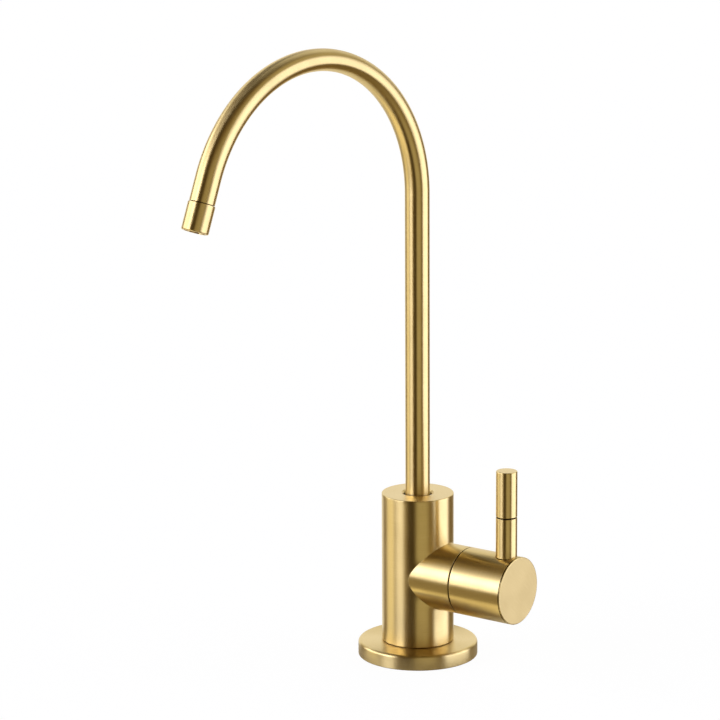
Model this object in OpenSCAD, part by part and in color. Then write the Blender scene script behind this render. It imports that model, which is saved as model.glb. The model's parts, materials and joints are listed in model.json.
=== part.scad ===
// Drinking water filter tap: a column with a swivelling gooseneck spout, a quarter-turn
// lever on a side branch, and a threaded shank that clamps it through a deck.
// The origin is the centre of the deck face. +Z is up, the handle lies along +X,
// and the spout points ahead along -Y, turned aside by spout_turn.

/* [Flange] */
// Diameter of the deck flange
flange_d = 46.6; // [42:0.2:60]
// Height of the deck flange
flange_h = 5.9; // [4.6:0.1:8]
// Round on the upper edge of the flange
flange_round = 1.2; // [0.3:0.1:1.5]
// Thickness of the gasket let into the underside of the flange
gasket_t = 2; // [1:0.1:2.5]
// Width of the bare rim around the gasket
gasket_rim = 6; // [3:0.1:8]

/* [Column] */
// Diameter of the column
body_d = 28; // [26.8:0.1:34]
// Height of the column above its shadow gap
body_h = 58.7; // [56:0.1:80]
// Shadow gap between the flange and the column
shadow_gap = 0.5; // [0.2:0.1:1.5]
// Diameter of the foot that stands on the flange inside the gap
foot_d = 22; // [18:0.1:25]
// Round on the turned edges of the visible pieces
edge_round = 0.4; // [0.2:0.1:0.7]

/* [Branch] */
// Diameter of the side branch and of the handle barrel
branch_d = 26.2; // [24.6:0.1:30]
// Height of the branch axis above the deck
branch_z = 33.4; // [29:0.1:35.5]
// Distance from the column axis to the end of the branch
branch_reach = 23.2; // [22:0.1:32]

/* [Handle] */
// Gap between the branch and the handle barrel
handle_gap = 0.5; // [0.3:0.1:1.2]
// Length of the handle barrel
barrel_l = 23.5; // [21:0.1:36]
// Wall around the open end of the handle barrel
barrel_wall = 2; // [1.2:0.1:2.6]
// Diameter of the lever
lever_d = 8.2; // [7:0.1:10]
// Distance from the lever axis to the end of the barrel
lever_inset = 5.6; // [5.2:0.1:9]
// Length of the lever above the barrel
lever_l = 33.6; // [28:0.1:60]
// Length of the grip that screws on the lever stem
grip_l = 17.8; // [10:0.1:22]
// Width of the groove between the stem and the grip
lever_groove = 0.5; // [0.2:0.1:1]
// Depth of the spot face that seats the lever in the barrel
lever_seat = 0.9; // [0.8:0.1:1.5]
// Diameter of the stud that fastens the lever
lever_stud_d = 5; // [4:0.1:5.5]
// Length of the stud that fastens the lever
lever_stud_l = 6.5; // [4:0.1:7]
// Diameter of the stud that fastens the grip
grip_stud_d = 4; // [3:0.1:5]
// Length of the stud that fastens the grip
grip_stud_l = 6; // [4:0.1:7]
// Diameter of the grub screw under the barrel
grub_d = 4; // [3:0.1:4.4]
// Length of the grub screw
grub_l = 6; // [4:0.1:8]

/* [Spout] */
// Outside diameter of the spout tube
tube_d = 9.5; // [8.6:0.1:11]
// Wall of the spout tube
tube_wall = 0.8; // [0.6:0.1:1.1]
// Height above the deck at which the bend begins
riser_top = 182.8; // [120:0.1:240]
// Centreline radius of the gooseneck bend
bend_r = 57; // [40:0.5:80]
// Angle that the bend turns through
bend_angle = 159; // [120:1:178]
// Straight length of tube between the bend and the nozzle
tail_l = 9.3; // [9:0.1:30]
// Radius by which that straight length is swaged out to take the nozzle
tail_swage = 0.05; // [0.03:0.01:0.15]
// Angle of the spout from straight ahead, away from the handle
spout_turn = 7; // [-60:1:60]

/* [Nozzle] */
// Length of the nozzle
nozzle_l = 10.5; // [9:0.1:16]
// Height of the nozzle's side above the tube's side
nozzle_proud = 0.3; // [0.1:0.1:1]
// Wall of the nozzle at its outlet
nozzle_wall = 1; // [0.7:0.1:1.3]
// Length of the nozzle spigot inside the tube
spigot_l = 7; // [5.5:0.1:8]
// Depth of the flow straightener inside the outlet
outlet_recess = 1.2; // [0.4:0.1:2.5]
// Thickness of the flow straightener
straightener_t = 3; // [2:0.1:4.5]
// Diameter of a hole in the flow straightener
straightener_hole_d = 1.5; // [1:0.1:1.7]

/* [Swivel seat] */
// Depth of the counterbore for the guide bush
ledge_depth = 8; // [7:0.1:9]
// Depth of the swivel socket under the counterbore
socket_l = 12; // [11.2:0.1:12.6]
// Wall of the guide bush
bush_wall = 0.8; // [0.6:0.1:1.5]
// Depth of the guide bush below the top of the column
bush_recess = 1.2; // [0.8:0.1:2]
// Width of the chamfer around the mouth of the column
mouth_chamfer = 0.7; // [0.3:0.1:1.2]
// Thickness of the snap ring that holds the spout down
snap_t = 1; // [0.8:0.1:1.4]
// Depth of the snap ring's groove in the spout insert
snap_groove = 0.7; // [0.5:0.1:0.9]
// Width of an O-ring groove in the spout insert
swivel_groove_w = 2; // [1.6:0.1:2.4]
// Depth of an O-ring groove in the spout insert
swivel_groove = 1.25; // [1:0.05:1.4]
// Wall of the spout insert under its grooves
insert_wall = 1; // [0.7:0.1:1.2]
// Length of the insert's spigot inside the tube
insert_spigot_l = 8; // [5:0.1:12]

/* [Cartridge] */
// Distance from the column axis to the seat, towards the handle
seat_x = -0.5; // [-1:0.1:0]
// Wall between the seat and the waterway behind it
seat_wall = 1; // [0.8:0.1:1.4]
// Diameter of the cartridge thread
thread_d = 16; // [15.6:0.1:17]
// Length of the cartridge thread
thread_l = 8; // [5:0.1:8.5]
// Diameter of the cartridge cavity
cavity_d = 14.4; // [14.2:0.1:15]
// Wall of the cartridge sleeve
sleeve_wall = 0.9; // [0.7:0.1:1.1]
// Thickness of the seat seal
seal_t = 1.8; // [1.2:0.1:2.2]
// Width of the seat seal
seal_w = 1.3; // [1:0.1:1.4]
// Thickness of each ceramic disc
disc_t = 3; // [2.5:0.1:3.4]
// Diameter of each port in the ceramic discs
disc_port_d = 2.8; // [2:0.1:3]
// Diameter of the valve spindle
spindle_d = 7; // [6.4:0.1:7.4]
// Width of the spindle across its flats
spindle_flats = 5.6; // [5:0.1:6]
// Length of the spindle's foot behind the moving disc
foot_l = 3; // [2.4:0.1:3.4]
// Thickness of the spindle's shoulder
shoulder_t = 1.5; // [1.2:0.1:2]
// Thickness of the friction washer
washer_t = 0.8; // [0.5:0.1:1]
// Height of the hexagon of the cartridge
hex_l = 3.5; // [2.5:0.1:4]
// Length of the nose of the cartridge
nose_l = 4; // [3:0.1:4.5]
// Length of the spindle held in the barrel
drive_l = 5; // [4.6:0.1:6]
// Diameter of the waterway up to the seat
inlet_d = 3.6; // [3:0.1:3.8]
// Diameter of the waterway up to the spout
outlet_d = 3.6; // [3:0.1:4]

/* [Shank and deck fixing] */
// Diameter of the shank, a 7/16 inch thread
shank_d = 11.1; // [10:0.1:12.6]
// Diameter of the waterway through the shank
shank_bore_d = 7; // [5:0.1:7.6]
// Length of shank screwed into the column
shank_in = 12; // [8:0.1:12.5]
// Thickness of the deck between the flange and the washers
deck_t = 20; // [3:0.5:40]
// Diameter of the rubber washer under the deck
rubber_washer_d = 38; // [30:0.5:46]
// Thickness of the rubber washer
rubber_washer_t = 3; // [2:0.1:4]
// Diameter of the steel washer under the rubber one
steel_washer_d = 32; // [26:0.5:40]
// Thickness of the steel washer
steel_washer_t = 1.5; // [1:0.1:2]
// Lock nut across its flats
nut_flats = 19; // [17:0.1:24]
// Height of the lock nut
nut_h = 7; // [5:0.1:10]
// Free length of shank between the lock nut and the inlet adapter
shank_spare = 10; // [2:0.5:30]

/* [Inlet] */
// Outside diameter of the supply tube, a 1/4 inch tube
supply_d = 6.35; // [6:0.05:6.6]
// Length of the supply tube's socket
supply_socket_l = 9; // [6:0.1:14]
// Inlet adapter across its flats
adapter_flats = 17; // [16:0.1:20]
// Diameter of the round end of the inlet adapter
adapter_d = 16; // [14.5:0.1:19]
// Length of shank inside the inlet adapter
adapter_in = 10; // [6:0.1:16]
// Thickness of the gasket at the end of the shank
end_gasket_t = 1.5; // [1:0.1:2]
// Diameter of the chamber for the seal and the collet
chamber_d = 10.4; // [10.2:0.1:11]
// Length of the chamber for the seal and the collet
chamber_l = 8; // [7.4:0.1:10]
// Wall of the collet
collet_wall = 1; // [0.8:0.1:1.05]
// Travel of the collet when it is pushed in to let the tube go
collet_travel = 1.5; // [1:0.1:1.7]
// Diameter of the collet's head
collet_head_d = 12.6; // [11:0.1:14]

/* [Clearances] */
// Radial gap of a running or screwed fit
fit_gap = 0.05; // [0.03:0.01:0.08]
// Gap at the end of a moving piece
end_gap = 0.3; // [0.2:0.05:0.4]
// Gap around a piece that something passes through freely
free_gap = 0.5; // [0.3:0.05:0.6]

/* [Hidden] */
$fn = 64;
// Depth by which a cut runs past the face that it opens
past = 1;

gold = [0.72, 0.58, 0.32];
brass = [0.80, 0.68, 0.36];
steel = [0.70, 0.71, 0.73];
ceramic = [0.93, 0.92, 0.88];
rubber = [0.10, 0.10, 0.10];
nylon = [0.20, 0.19, 0.17];
white_plastic = [0.88, 0.88, 0.86];

// Column and branch
body_r = body_d / 2;
branch_r = branch_d / 2;
foot_z = flange_h + shadow_gap;
body_top = foot_z + body_h;

// Swivel seat, from the top of the column down
tube_r = tube_d / 2;
tube_bore_r = tube_r - tube_wall;
ledge_z = body_top - ledge_depth;
socket_floor = ledge_z - socket_l;
socket_r = tube_r + 2 * fit_gap;
bush_bore_r = tube_r + fit_gap;
counterbore_r = bush_bore_r + bush_wall + fit_gap;
snap_groove_r = tube_r - snap_groove;
insert_bottom = socket_floor + end_gap;
insert_top = ledge_z + 2.5 * snap_t;
swivel_root_r = tube_r - swivel_groove;
insert_bore_r = swivel_root_r - insert_wall;
swivel_grooves = [insert_bottom + 1.5 * swivel_groove_w, insert_bottom + 3.75 * swivel_groove_w];

// Nozzle and what it holds
nozzle_r = tube_r + nozzle_proud;
outlet_bore_r = nozzle_r - nozzle_wall;
tail_bore_r = tube_bore_r + tail_swage;
spigot_r = tail_bore_r - fit_gap;
spigot_groove = 0.9;
spigot_groove_w = 1.5;
spigot_bore_r = spigot_r - spigot_groove - 0.7;
straightener_r = outlet_bore_r - fit_gap;
straightener_z = nozzle_l - outlet_recess - straightener_t;
bead_h = 0.15;
bead_w = 0.8;
straightener_ring = 6;
// Length of the swage that reaches back into the bend
swage_run = 0.5;

// Cartridge, along the branch from the seat outwards
thread_r = thread_d / 2;
cavity_r = cavity_d / 2;
sleeve_r = cavity_r - end_gap;
chamber_r = sleeve_r - sleeve_wall;
disc_r = chamber_r - 2 * fit_gap;
sleeve_x = seat_x + seal_t / 3;
fixed_disc_x = seat_x + seal_t;
moving_disc_x = fixed_disc_x + disc_t;
foot_x = moving_disc_x + disc_t;
shoulder_x = foot_x + foot_l;
washer_x = shoulder_x + shoulder_t;
chamber_end_x = washer_x + washer_t;
thread_x = branch_reach - thread_l;
hex_flats = thread_d + 1;
nose_x = branch_reach + hex_l;
nose_end_x = nose_x + nose_l;
spindle_r = spindle_d / 2;
spindle_bore_r = spindle_r + fit_gap;
nose_r = spindle_r + 1.6;
shoulder_r = chamber_r - free_gap - end_gap;
key_w = 2.6;
disc_port_c = disc_r / 2;
tongue_w = 2.2;
tongue_d = 1;
housing_groove = 1.2;
housing_groove_w = 1.8;
housing_groove_x = chamber_end_x + free_gap;
spindle_groove = 0.9;
spindle_groove_w = 1.4;
spindle_grooves = [chamber_end_x + 1.5 * spindle_groove_w, chamber_end_x + 3.5 * spindle_groove_w];
clip_t = 0.8;
clip_groove = 0.6;
clip_x = nose_end_x + end_gap;
clip_r = nose_r + 0.3;

// Handle
barrel_x = branch_reach + handle_gap;
barrel_end_x = barrel_x + barrel_l;
barrel_bore_r = branch_r - barrel_wall;
web_x = clip_x + clip_t + free_gap;
drive_end_x = web_x + drive_l;
spindle_end_x = drive_end_x - end_gap;
lever_r = lever_d / 2;
lever_x = barrel_end_x - lever_inset;
lever_neck_r = lever_r - 0.6;
stem_l = lever_l - grip_l - lever_groove;
grub_r = grub_d / 2;
grub_x = (web_x + drive_end_x) / 2;
grub_socket_flats = grub_d / 2;
spindle_flat = spindle_flats / 2;

// Waterways of the column
inlet_r = inlet_d / 2;
inlet_x = seat_x - seat_wall - inlet_r;
port_r = inlet_r + free_gap;
outlet_r = outlet_d / 2;
outlet_x = tube_r - outlet_r - end_gap;

// Shank and what is on it, from the deck down
shank_r = shank_d / 2;
shank_bore_r = shank_bore_d / 2;
shank_chamfer = 0.8;
shank_top = flange_h + shank_in;
shank_hole_top = shank_top + 3 * free_gap;
gasket_r = flange_d / 2 - gasket_rim;
rubber_washer_z = -deck_t - rubber_washer_t;
steel_washer_z = rubber_washer_z - steel_washer_t;
nut_z = steel_washer_z - nut_h;
adapter_top = nut_z - shank_spare;
shank_bottom = adapter_top - adapter_in;

// Inlet adapter, from the end of the shank down
supply_r = supply_d / 2;
supply_socket_r = supply_r + 0.7 * fit_gap;
end_gasket_z = shank_bottom - end_gasket_t;
throat_l = 2.5;
supply_stop_z = end_gasket_z - throat_l;
supply_mouth_z = supply_stop_z - supply_socket_l;
chamber_r_inlet = chamber_d / 2;
lip_z = supply_mouth_z - chamber_l;
lip_l = 2;
adapter_bottom = lip_z - lip_l;
collet_bore_r = supply_socket_r + fit_gap;
collet_r = collet_bore_r + collet_wall;
lip_r = collet_r + fit_gap * 4;
collet_bulge_r = chamber_r_inlet - end_gap;
seal_cord_r = (chamber_r_inlet - supply_socket_r) / 2 - fit_gap;
seal_z = supply_mouth_z - seal_cord_r - fit_gap;
collet_bulge_z = lip_z + fit_gap * 4;
collet_top = seal_z - seal_cord_r - end_gap - collet_travel;
collet_head_t = 1.5;
collet_head_z = adapter_bottom - collet_travel - fit_gap * 4;
collet_slot_w = 0.8;

// Corner of a profile to cut away, so that a round is left
module corner(round) {
    difference() {
        square(round + past);
        circle(round);
    }
}

// Half section of a turned piece with rounds on its upper and lower edges
module turned(r, h, upper, lower) {
    difference() {
        square([r, h]);
        translate([r - upper, h - upper]) corner(upper);
        if (lower > 0) translate([r - lower, lower]) mirror([0, 1]) corner(lower);
    }
}

module ring(inner, outer, h) {
    difference() {
        cylinder(r = outer, h = h);
        translate([0, 0, -past]) cylinder(r = inner, h = h + 2 * past);
    }
}

// O-ring that lies between a groove's root and the wall that it seals on
module o_ring(root, wall) {
    cord_r = (wall - root - fit_gap) / 2;
    rotate_extrude() translate([(wall + root) / 2, 0]) circle(cord_r);
}

module hexagon(flats, h) {
    cylinder(r = flats / 2 / cos(30), h = h, $fn = 6);
}

// Places a piece on the branch axis, x from the column axis, with its own Z along +X
module on_branch(x) {
    translate([x, 0, branch_z]) rotate([0, 90, 0]) children();
}

// Turns the spout from straight ahead to where it rests
module on_spout() {
    rotate([0, 0, -spout_turn]) children();
}

// Places a piece where the bend ends, with its own Z along the flow
module on_tail() {
    on_spout()
        translate([0, bend_r * (cos(bend_angle) - 1), riser_top + bend_r * sin(bend_angle)])
            rotate([bend_angle, 0, 0]) children();
}

// Places a piece on the barrel where the lever stands
module on_lever(h) {
    translate([lever_x, 0, branch_z + branch_r + h]) children();
}

module flange() {
    color(gold) difference() {
        rotate_extrude() turned(flange_d / 2, flange_h, flange_round, edge_round);
        translate([0, 0, -past]) cylinder(r = shank_r + free_gap, h = flange_h + 2 * past);
        translate([0, 0, -past]) cylinder(r = gasket_r, h = gasket_t + past);
    }
}

module base_gasket() {
    color(rubber) ring(shank_r + free_gap, gasket_r - fit_gap, gasket_t);
}

module body() {
    color(gold) difference() {
        union() {
            translate([0, 0, flange_h]) cylinder(d = foot_d, h = shadow_gap + past);
            translate([0, 0, foot_z]) rotate_extrude() turned(body_r, body_h, edge_round, edge_round);
            on_branch(0) rotate_extrude() turned(branch_r, branch_reach, edge_round, 0);
        }
        shank_way();
        cartridge_way();
        spout_way();
    }
}

// Thread for the shank, and the waterway from it to the seat
module shank_way() {
    translate([0, 0, flange_h - past]) cylinder(r = shank_r + fit_gap, h = shank_hole_top - flange_h + past);
    translate([inlet_x, 0, shank_hole_top - past])
        cylinder(r = inlet_r, h = branch_z + inlet_r / 2 - shank_hole_top + past);
    on_branch(inlet_x - inlet_r / 2) cylinder(r = port_r, h = seat_x - inlet_x + inlet_r / 2 + past);
}

// Cavity and thread for the cartridge
module cartridge_way() {
    on_branch(seat_x) cylinder(r = cavity_r, h = branch_reach - seat_x + past);
    on_branch(thread_x) cylinder(r = thread_r, h = thread_l + past);
}

// Waterway from the cavity, and the seat of the spout
module spout_way() {
    translate([outlet_x, 0, branch_z]) cylinder(r = outlet_r, h = socket_floor - branch_z + past);
    translate([0, 0, socket_floor]) cylinder(r = socket_r, h = socket_l + past);
    translate([0, 0, ledge_z]) cylinder(r = counterbore_r, h = ledge_depth + past);
    translate([0, 0, body_top - mouth_chamfer])
        cylinder(r1 = counterbore_r, r2 = counterbore_r + 2 * mouth_chamfer, h = 2 * mouth_chamfer);
}

module shank() {
    color(brass) translate([0, 0, shank_bottom]) rotate_extrude() {
        shank_l = shank_top - shank_bottom;
        polygon([
            [shank_bore_r, 0], [shank_r - shank_chamfer, 0], [shank_r, shank_chamfer],
            [shank_r, shank_l - shank_chamfer], [shank_r - shank_chamfer, shank_l], [shank_bore_r, shank_l]
        ]);
    }
}

module deck_rubber_washer() {
    color(rubber) translate([0, 0, rubber_washer_z])
        ring(shank_r + free_gap, rubber_washer_d / 2, rubber_washer_t);
}

module deck_steel_washer() {
    color(steel) translate([0, 0, steel_washer_z])
        ring(shank_r + free_gap, steel_washer_d / 2, steel_washer_t);
}

module lock_nut() {
    color(brass) translate([0, 0, nut_z]) difference() {
        hexagon(nut_flats, nut_h);
        translate([0, 0, -past]) cylinder(r = shank_r + fit_gap, h = nut_h + 2 * past);
    }
}

module inlet_adapter() {
    color(white_plastic) difference() {
        union() {
            translate([0, 0, end_gasket_z]) hexagon(adapter_flats, adapter_top - end_gasket_z);
            translate([0, 0, adapter_bottom]) cylinder(d = adapter_d, h = end_gasket_z - adapter_bottom);
        }
        translate([0, 0, end_gasket_z]) cylinder(r = shank_r + fit_gap, h = adapter_top - end_gasket_z + past);
        translate([0, 0, supply_stop_z - past]) cylinder(r = supply_r - past, h = throat_l + 2 * past);
        translate([0, 0, supply_mouth_z - past]) cylinder(r = supply_socket_r, h = supply_socket_l + past);
        translate([0, 0, lip_z]) cylinder(r = chamber_r_inlet, h = chamber_l);
        translate([0, 0, adapter_bottom - past]) cylinder(r = lip_r, h = lip_l + 2 * past);
    }
}

module adapter_gasket() {
    color(rubber) translate([0, 0, end_gasket_z]) ring(supply_r, shank_r - fit_gap, end_gasket_t);
}

module inlet_o_ring() {
    color(rubber) translate([0, 0, seal_z]) rotate_extrude()
        translate([(chamber_r_inlet + supply_socket_r) / 2, 0]) circle(seal_cord_r);
}

module collet() {
    color(white_plastic) difference() {
        union() {
            translate([0, 0, collet_head_z - collet_head_t]) cylinder(d = collet_head_d, h = collet_head_t);
            translate([0, 0, collet_head_z - past]) cylinder(r = collet_r, h = collet_top - collet_head_z + past);
            translate([0, 0, collet_bulge_z]) cylinder(r = collet_bulge_r, h = collet_top - collet_bulge_z);
        }
        translate([0, 0, collet_head_z - collet_head_t - past])
            cylinder(r = collet_bore_r, h = collet_top - collet_head_z + collet_head_t + 2 * past);
        for (turn = [0, 90])
            rotate([0, 0, turn])
                translate([-collet_head_d / 2, -collet_slot_w / 2, lip_z - lip_l / 2])
                    cube([collet_head_d, collet_slot_w, collet_top - lip_z + lip_l]);
    }
}

module guide_bush() {
    color(nylon) translate([0, 0, ledge_z + snap_t])
        ring(bush_bore_r, counterbore_r - fit_gap, ledge_depth - snap_t - bush_recess);
}

module snap_ring() {
    color(steel) translate([0, 0, ledge_z]) difference() {
        ring(snap_groove_r + 2 * fit_gap, counterbore_r - fit_gap, snap_t);
        translate([0, -snap_t, -past]) cube([counterbore_r + past, 2 * snap_t, snap_t + 2 * past]);
    }
}

module spout_insert() {
    color(brass) difference() {
        union() {
            translate([0, 0, insert_bottom]) cylinder(r = tube_r, h = insert_top - insert_bottom);
            translate([0, 0, insert_top - past]) cylinder(r = tube_bore_r - fit_gap, h = insert_spigot_l + past);
        }
        translate([0, 0, insert_bottom - past])
            cylinder(r = insert_bore_r, h = insert_top - insert_bottom + insert_spigot_l + 2 * past);
        for (z = swivel_grooves)
            translate([0, 0, z - swivel_groove_w / 2]) ring(swivel_root_r, tube_r + past, swivel_groove_w);
        translate([0, 0, ledge_z - 2 * fit_gap]) ring(snap_groove_r, tube_r + past, snap_t + 4 * fit_gap);
    }
}

module spout_o_rings() {
    color(rubber) for (z = swivel_grooves) translate([0, 0, z]) o_ring(swivel_root_r, socket_r);
}

// Solid run of the spout from the insert to the nozzle, carried past both ends by over
module spout_run(r, over) {
    on_spout() {
        translate([0, 0, insert_top - over]) cylinder(r = r, h = riser_top - insert_top + over);
        translate([0, -bend_r, riser_top]) rotate([90, 0, 90])
            rotate_extrude(angle = bend_angle) translate([bend_r, 0]) circle(r);
    }
    on_tail() translate([0, 0, -swage_run]) cylinder(r = r + tail_swage, h = swage_run + tail_l + over);
}

module spout_tube() {
    color(gold) difference() {
        spout_run(tube_r, 0);
        spout_run(tube_bore_r, past);
    }
}

module nozzle() {
    color(gold) on_tail() translate([0, 0, tail_l]) difference() {
        union() {
            rotate_extrude() turned(nozzle_r, nozzle_l, edge_round, edge_round / 2);
            translate([0, 0, -spigot_l]) cylinder(r = spigot_r, h = spigot_l + past);
        }
        translate([0, 0, -spigot_l - past]) cylinder(r = spigot_bore_r, h = spigot_l + nozzle_l);
        translate([0, 0, straightener_z]) cylinder(r = outlet_bore_r, h = nozzle_l);
        translate([0, 0, straightener_z + straightener_t / 2 - bead_w / 2 - fit_gap])
            cylinder(r = outlet_bore_r + bead_h, h = bead_w + 2 * fit_gap);
        translate([0, 0, -spigot_l / 2 - spigot_groove_w / 2])
            ring(spigot_r - spigot_groove, spigot_r + past, spigot_groove_w);
    }
}

module nozzle_o_ring() {
    color(rubber) on_tail() translate([0, 0, tail_l - spigot_l / 2]) o_ring(spigot_r - spigot_groove, tail_bore_r);
}

module flow_straightener() {
    color(brass) on_tail() translate([0, 0, tail_l + straightener_z]) difference() {
        union() {
            cylinder(r = straightener_r, h = straightener_t);
            translate([0, 0, (straightener_t - bead_w) / 2])
                cylinder(r = straightener_r + bead_h, h = bead_w);
        }
        translate([0, 0, -past]) cylinder(d = straightener_hole_d, h = straightener_t + 2 * past);
        for (i = [1 : straightener_ring])
            rotate([0, 0, i * 360 / straightener_ring])
                translate([straightener_r * 0.6, 0, -past])
                    cylinder(d = straightener_hole_d, h = straightener_t + 2 * past);
    }
}

module cartridge_housing() {
    color(brass) on_branch(0) difference() {
        union() {
            translate([0, 0, sleeve_x]) cylinder(r = sleeve_r, h = branch_reach - sleeve_x);
            translate([0, 0, thread_x + end_gap]) cylinder(r = thread_r - fit_gap, h = thread_l - end_gap);
            translate([0, 0, branch_reach]) hexagon(hex_flats, hex_l);
            translate([0, 0, nose_x - past]) cylinder(r = nose_r, h = nose_l + past);
        }
        translate([0, 0, sleeve_x - past]) cylinder(r = chamber_r, h = chamber_end_x - sleeve_x + past);
        translate([0, 0, chamber_end_x - past]) cylinder(r = spindle_bore_r, h = nose_end_x - chamber_end_x + 2 * past);
        translate([0, 0, housing_groove_x])
            ring(sleeve_r - housing_groove, sleeve_r + past, housing_groove_w);
        translate([-key_w / 2, -sleeve_r - past, sleeve_x - past])
            cube([key_w, 2 * (sleeve_r + past), moving_disc_x - sleeve_x + past]);
        translate([-key_w, -sleeve_r - past, foot_x])
            cube([2 * key_w, 2 * (sleeve_r + past), foot_l]);
    }
}

module housing_o_ring() {
    color(rubber) on_branch(housing_groove_x + housing_groove_w / 2) o_ring(sleeve_r - housing_groove, cavity_r);
}

module seat_seal() {
    color(rubber) on_branch(seat_x) ring(disc_r - seal_w, disc_r, seal_t);
}

module fixed_disc() {
    ear_w = key_w - 4 * fit_gap;
    ear_r = sleeve_r - 4 * fit_gap;
    color(ceramic) on_branch(fixed_disc_x) difference() {
        union() {
            cylinder(r = disc_r, h = disc_t);
            translate([-ear_w / 2, -ear_r, 0]) cube([ear_w, 2 * ear_r, disc_t]);
        }
        for (side = [-1, 1])
            translate([side * disc_port_c, 0, -past]) cylinder(d = disc_port_d, h = disc_t + 2 * past);
    }
}

module moving_disc() {
    slot_w = tongue_w + 4 * fit_gap;
    slot_d = tongue_d + 2 * fit_gap;
    color(ceramic) on_branch(moving_disc_x) difference() {
        cylinder(r = disc_r, h = disc_t);
        for (side = [-1, 1])
            translate([0, side * disc_port_c, -past]) cylinder(d = disc_port_d, h = disc_t + 2 * past);
        translate([-disc_r - past, -slot_w / 2, disc_t - slot_d]) cube([2 * (disc_r + past), slot_w, slot_d + past]);
    }
}

module friction_washer() {
    color(white_plastic) on_branch(washer_x) ring(spindle_bore_r + fit_gap, chamber_r - 4 * fit_gap, washer_t);
}

module spindle() {
    color(brass) on_branch(0) difference() {
        union() {
            translate([-shoulder_r, -tongue_w / 2, foot_x - tongue_d])
                cube([2 * shoulder_r, tongue_w, tongue_d + foot_l]);
            translate([0, 0, shoulder_x]) cylinder(r = shoulder_r, h = shoulder_t);
            translate([0, 0, shoulder_x]) cylinder(r = spindle_r, h = spindle_end_x - shoulder_x);
        }
        for (x = spindle_grooves)
            translate([0, 0, x - spindle_groove_w / 2])
                ring(spindle_r - spindle_groove, spindle_r + past, spindle_groove_w);
        translate([0, 0, clip_x - fit_gap])
            ring(spindle_r - clip_groove, spindle_r + past, clip_t + 2 * fit_gap);
        for (side = [0, 180])
            rotate([0, 0, side])
                translate([spindle_flat, -spindle_r, web_x - free_gap / 2])
                    cube([spindle_r, 2 * spindle_r, spindle_end_x - web_x + past]);
    }
}

module spindle_o_rings() {
    color(rubber) for (x = spindle_grooves) on_branch(x) o_ring(spindle_r - spindle_groove, spindle_bore_r);
}

module spindle_circlip() {
    color(steel) on_branch(clip_x) difference() {
        ring(spindle_r - clip_groove + fit_gap, clip_r, clip_t);
        translate([0, -spindle_r / 2, -past]) cube([clip_r + past, spindle_r, clip_t + 2 * past]);
    }
}

module handle_barrel() {
    color(gold) difference() {
        on_branch(barrel_x) difference() {
            rotate_extrude() turned(branch_r, barrel_l, edge_round, edge_round);
            translate([0, 0, -past]) cylinder(r = barrel_bore_r, h = web_x - barrel_x + past);
            intersection() {
                cylinder(r = spindle_r + fit_gap, h = drive_end_x - barrel_x);
                translate([-spindle_flat - fit_gap, -spindle_d, 0])
                    cube([spindle_flats + 2 * fit_gap, 2 * spindle_d, drive_end_x - barrel_x]);
            }
        }
        on_lever(-lever_seat) cylinder(r = lever_r + 2 * fit_gap, h = lever_seat + past);
        on_lever(-lever_seat - lever_stud_l - end_gap)
            cylinder(d = lever_stud_d + 2 * fit_gap, h = lever_stud_l + lever_seat);
        translate([grub_x, 0, branch_z - branch_r - past]) cylinder(r = grub_r + fit_gap, h = branch_r + past);
    }
}

module grub_screw() {
    color(steel) translate([grub_x, 0, branch_z - spindle_flat - grub_l]) difference() {
        cylinder(r = grub_r, h = grub_l);
        translate([0, 0, -past]) hexagon(grub_socket_flats, grub_l / 3 + past);
    }
}

module lever_stem() {
    color(gold) difference() {
        union() {
            on_lever(-lever_seat) rotate_extrude() turned(lever_r, stem_l + lever_seat, edge_round / 2, edge_round / 2);
            on_lever(-lever_seat - lever_stud_l) cylinder(d = lever_stud_d, h = lever_stud_l + past);
        }
        on_lever(stem_l - grip_stud_l - end_gap)
            cylinder(d = grip_stud_d + 2 * fit_gap, h = grip_stud_l + end_gap + past);
    }
}

module lever_grip() {
    color(gold) {
        on_lever(stem_l + lever_groove) rotate_extrude() turned(lever_r, grip_l, edge_round, edge_round / 2);
        on_lever(stem_l) cylinder(r = lever_neck_r, h = lever_groove + past);
        on_lever(stem_l - grip_stud_l) cylinder(d = grip_stud_d, h = grip_stud_l + past);
    }
}

flange();
base_gasket();
body();
shank();
deck_rubber_washer();
deck_steel_washer();
lock_nut();
inlet_adapter();
adapter_gasket();
inlet_o_ring();
collet();
guide_bush();
snap_ring();
spout_insert();
spout_o_rings();
spout_tube();
nozzle();
nozzle_o_ring();
flow_straightener();
cartridge_housing();
housing_o_ring();
seat_seal();
fixed_disc();
moving_disc();
friction_washer();
spindle();
spindle_o_rings();
spindle_circlip();
handle_barrel();
grub_screw();
lever_stem();
lever_grip();
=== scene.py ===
"""Drinking water tap in brushed gold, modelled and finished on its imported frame."""
import json
import math

import bmesh
import bpy
from bpy.props import FloatProperty, FloatVectorProperty, PointerProperty
from mathutils import Matrix, Vector


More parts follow.
